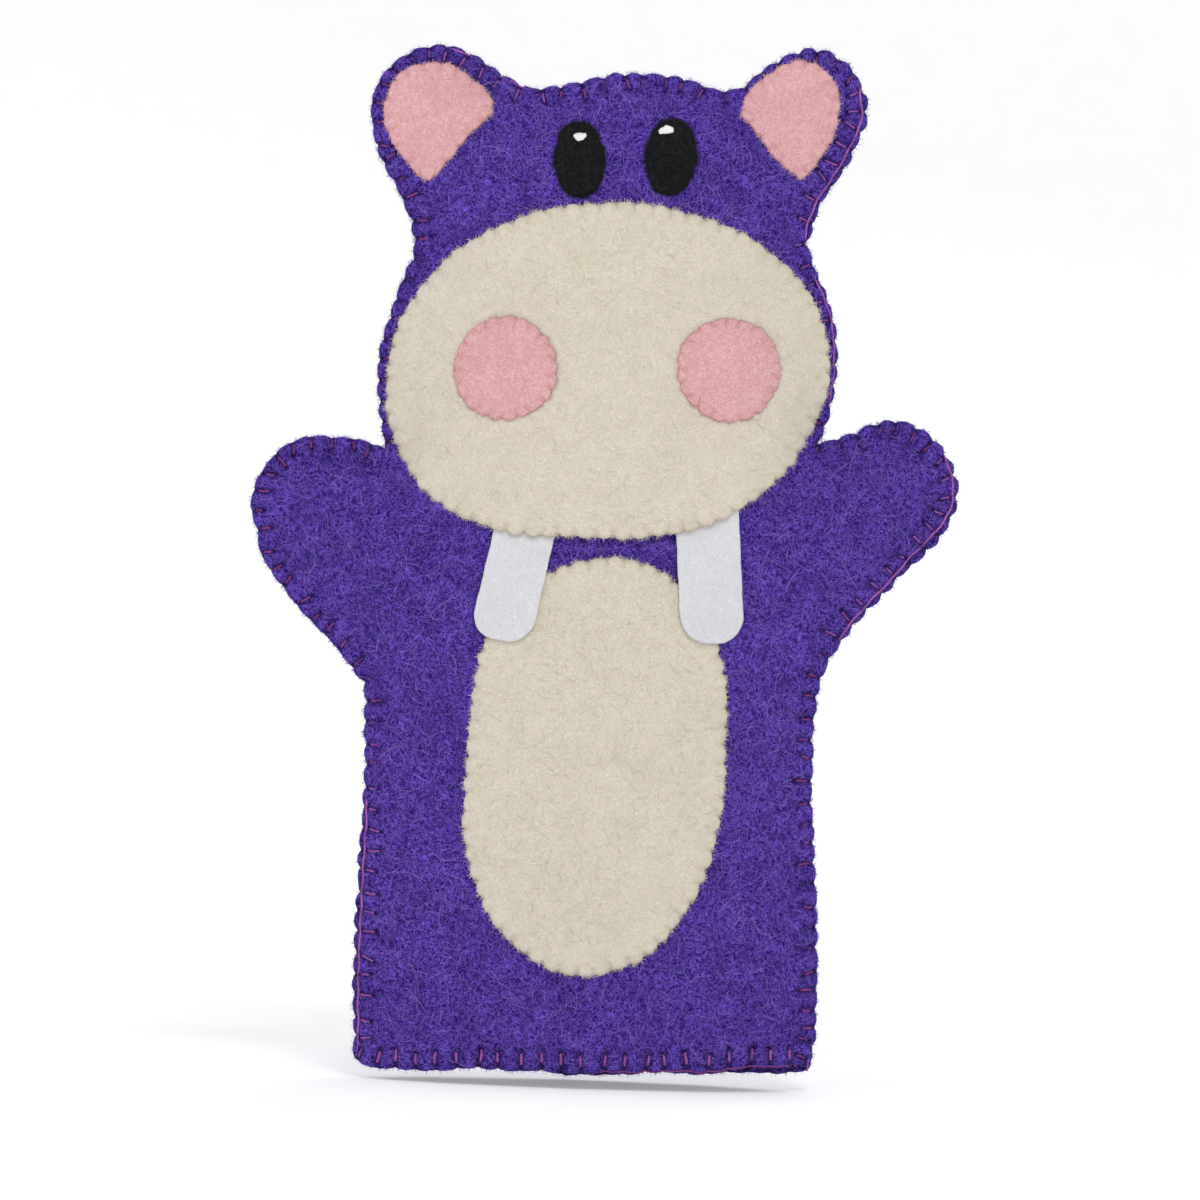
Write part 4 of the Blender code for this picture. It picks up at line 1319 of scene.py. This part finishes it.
def wander(count, ring, low, high, curl, points, spill):
    """Curly paths over the plane inside a ring, as an array of count by points by two."""
    box_low, box_high = ring.min(0) - spill, ring.max(0) + spill
    start = rng.uniform(box_low, box_high, (int(count * 2.4), 2))
    start = start[inside(start, ring[::3])][:count]
    n = len(start)
    length = rng.uniform(low, high, n)
    step = (length / (points - 1))[:, None]
    bend = rng.normal(0, curl, (n, 1)) + np.cumsum(rng.normal(0, curl * 0.45, (n, points - 1)), axis=1)
    heading = rng.uniform(0, 2 * math.pi, (n, 1)) + np.cumsum(bend * step, axis=1)
    moves = np.stack([np.cos(heading), np.sin(heading)], -1) * step[..., None]
    path = np.concatenate([start[:, None], start[:, None] + np.cumsum(moves, axis=1)], axis=1)
    flat = path.reshape(-1, 2)
    out = ring_distance(flat, ring, 3.0) * ~inside(flat, ring[::2])
    return path[(out.reshape(n, points) <= spill).all(1)]


def fibre_mesh(paths, radius):
    """Three-sided strands as points and triangles, from an array of paths."""
    n, m = paths.shape[:2]
    ahead = np.gradient(paths, axis=1)
    ahead /= np.linalg.norm(ahead, axis=2)[..., None] + 1e-12
    side = np.cross(ahead, np.array([0.0, 1.0, 0.0]))
    side /= np.linalg.norm(side, axis=2)[..., None] + 1e-9
    up = np.cross(side, ahead)
    thin = radius[:, None] * (0.35 + 0.65 * np.sin(np.linspace(0.12, math.pi - 0.12, m))[None, :])
    a = np.radians([90, 210, 330])
    spokes = np.cos(a)[:, None] * side[:, :, None] + np.sin(a)[:, None] * up[:, :, None]
    co = paths[:, :, None] + thin[..., None, None] * spokes
    first = np.arange(n)[:, None, None] * (m * 3)
    end = (m - 1) * 3
    tris = np.vstack([tube_sides(m, 3), [[0, 2, 1]], [[end, end + 1, end + 2]]])
    return co.reshape(-1, 3), (first + tris[None]).reshape(-1, 3)


def strew(name, paths, surface, face, material, slot, radius, lift, body=None, bends=True):
    """Loose fibres that lie on a surface, one object for each body they cross."""
    n, m = paths.shape[:2]
    flat = paths.reshape(-1, 2)
    t = np.linspace(0, 1, m)[None, :]
    rise = rng.uniform(0.2, 1.0, (n, 1)) ** 2 * lift
    y = surface(flat).reshape(n, m) + 0.02 + rise * np.sin(math.pi * t) ** 0.8
    y = y + 0.04 * np.sin(9 * t + rng.uniform(0, 6.28, (n, 1)))
    full = np.stack([paths[..., 0], face * y, paths[..., 1]], -1)
    shade = rng.beta(1.6, 2.6, n)
    size = radius * rng.uniform(0.7, 1.25, n)
    owners = np.array([body] * n) if body else None
    if owners is None:
        at = body_at(flat).reshape(n, m)
        owners = at[:, 0].copy()
        for other in ("head", "arm_left", "arm_right", "ear_left", "ear_right"):
            owners[(at == other).any(1)] = other
    for own in np.unique(owners):
        chosen = owners == own
        co, faces = fibre_mesh(full[chosen], size[chosen])
        label = name if body else f"{name}_{own}"
        thing = build(label, co, faces, material, slot, floats={"shade": np.repeat(shade[chosen], m * 3)})
        attach(thing, str(own), bends)


def edge_fuzz(ring, every, low, high):
    """Short fibres that stand out past an edge."""
    s = along_ring(ring)
    count = int(s[-1] / every)
    at = rng.uniform(0, s[-1], count)
    p = read_ring(at, s, ring)
    n = turned(read_ring(at, s, outward(ring)), rng.normal(0, 38, count))
    size = rng.uniform(low, high, count)
    t = np.linspace(-0.6, 1.0, 6)
    side = np.stack([-n[:, 1], n[:, 0]], 1)
    sway = rng.normal(0, 0.35, (count, 1)) * t[None, :] ** 2 * size[:, None]
    return p[:, None] + n[:, None] * (t[None, :] * size[:, None])[..., None] + side[:, None] * sway[..., None]


DENSITY = 1.0
for face, word in FACES:
    ring = RINGS[face]

    def surface(p, face=face):
        return panel_outer(p, face)

    for layer in ("lower", "upper"):
        short = wander(int(10500 * DENSITY), ring, 1.0, 3.6, 0.2, points=5, spill=0.3)
        strew(f"{word}_{layer}_fibres", short, surface, face, PURPLE_STRAND, "purple_felt", 0.045, 0.14)
    long = wander(int(2000 * DENSITY), ring, 3.0, 9.0, 0.13, points=12, spill=0.5)
    strew(f"{word}_long_fibres", long, surface, face, PALE_STRAND, "purple_felt", 0.04, 0.25)
    fuzz = edge_fuzz(ring, 0.45 / DENSITY, 0.4, 1.1)
    strew(
        f"{word}_edge_fibres", fuzz, lambda p, face=face: panel_mid(p, face) - 0.2, face,
        PURPLE_STRAND, "purple_felt", 0.045, 0.3,
    )

for name, ring, legs, top, base, body in (
    ("muzzle", muzzle_ring, muzzle_legs, muzzle_top, muzzle_base, "head"),
    ("belly", belly_ring, belly_legs, belly_top, panel_top, "torso"),
):
    paths = wander(int(1300 * DENSITY), ring, 1.5, 5.0, 0.25, points=7, spill=0.1)
    strew(f"{name}_fibres", paths, top, -1, CREAM_STRAND, "cream_felt", 0.04, 0.08, body=body)
    fuzz = edge_fuzz(ring, 0.28 / DENSITY, 0.3, 1.0)
    strew(
        f"{name}_edge_fibres", fuzz, lambda p, base=base: base(p) + 0.35, -1,
        CREAM_STRAND, "cream_felt", 0.05, 0.25, body=body,
    )

for side in SIDES:
    for ring, top, name, body in TRIMS[side]:
        black = name.startswith("eye_")
        fuzz = edge_fuzz(ring, (0.12 if black else 0.3) / DENSITY, 0.3, 0.9)
        look, slot = (BLACK_STRAND, "black_felt") if black else (PINK_STRAND, "pink_felt")
        strew(
            f"{name}_edge_fibres", fuzz, lambda p, top=top: top(p) + 0.2, -1,
            look, slot, 0.05, 0.2, body=body, bends=not black,
        )


# ---------------------------------------------------------------- floor, light and camera

def studio():
    """A pale bowl: a flat floor that curves up all round."""
    turn = np.linspace(0.05, math.pi / 2, 24)
    curve = [(1.2 + 1.4 * math.sin(a), 1.4 - 1.4 * math.cos(a)) for a in turn]
    profile = [(0.0, 0.0), (1.2, 0.0)] + curve + [(2.6, 3.2)]
    turns = 96
    verts, faces = [], []
    for r, z in profile[1:]:
        for k in range(turns):
            a = 2 * math.pi * k / turns
            verts.append((r * math.cos(a), r * math.sin(a), FLOOR * MM + z))
    for i in range(len(profile) - 2):
        for k in range(turns):
            n = (k + 1) % turns
            faces.append((i * turns + k, (i + 1) * turns + k, (i + 1) * turns + n, i * turns + n))
    faces.append(tuple(range(turns)))
    mesh = bpy.data.meshes.new("studio_floor")
    mesh.from_pydata(verts, [], faces)
    mesh.update()
    mesh.shade_smooth()
    thing = bpy.data.objects.new("studio_floor", mesh)
    bpy.context.scene.collection.objects.link(thing)
    n = Nodes("studio_paper")
    place = n.add("ShaderNodeTexCoord").outputs["Object"]
    grain = n.noise(place, 60.0, 3.0, 0.5)
    shade = n.mix(grain, (0.86, 0.86, 0.865), (0.90, 0.90, 0.905))
    paper = n.finish(shade, grain, 0.02, 0.0, (1, 1, 1), rough=0.95, specular=0.0)
    glow = [m for m in paper.node_tree.nodes if m.type == "BSDF_PRINCIPLED"][0]
    glow.inputs["Emission Color"].default_value = (1, 1, 1, 1)
    glow.inputs["Emission Strength"].default_value = 0.28
    mesh.materials.append(paper)
    return thing


def area_light(name, place, aim, size, power):
    data = bpy.data.lights.new(name, "AREA")
    data.shape = "DISK"
    data.size = size
    data.energy = power
    thing = bpy.data.objects.new(name, data)
    thing.location = place
    thing.rotation_euler = (Vector(aim) - Vector(place)).to_track_quat("-Z", "Y").to_euler()
    bpy.context.scene.collection.objects.link(thing)
    return thing


scene = bpy.context.scene
floor = studio()
lights = [
    area_light("key_light", (0.25, -1.3, 1.35), (0, 0, 0.13), 0.45, 7.6),
    area_light("fill_left", (-1.4, -1.0, 0.5), (0, 0, 0.12), 1.0, 2.7),
    area_light("fill_back", (0.6, 1.5, 1.1), (0, 0, 0.12), 1.0, 5.0),
]

world = bpy.data.worlds.new("white_world")
world.use_nodes = True
world.node_tree.nodes["Background"].inputs["Color"].default_value = (1, 1, 1, 1)
world.node_tree.nodes["Background"].inputs["Strength"].default_value = 0.3
scene.world = world
scene.view_settings.view_transform = "Standard"

lens = bpy.data.cameras.new("camera")
lens.sensor_width = 36
lens.lens = 192
lens.clip_start = 0.05
lens.clip_end = 20
camera = bpy.data.objects.new("camera", lens)
level = Matrix.Rotation(math.pi / 2, 4, "X")
roll = Matrix.Rotation(math.radians(2.0), 4, "Z")
camera.matrix_world = Matrix.Translation((0.4 * MM, -1.6, 117.1 * MM)) @ level @ roll
scene.collection.objects.link(camera)
scene.camera = camera
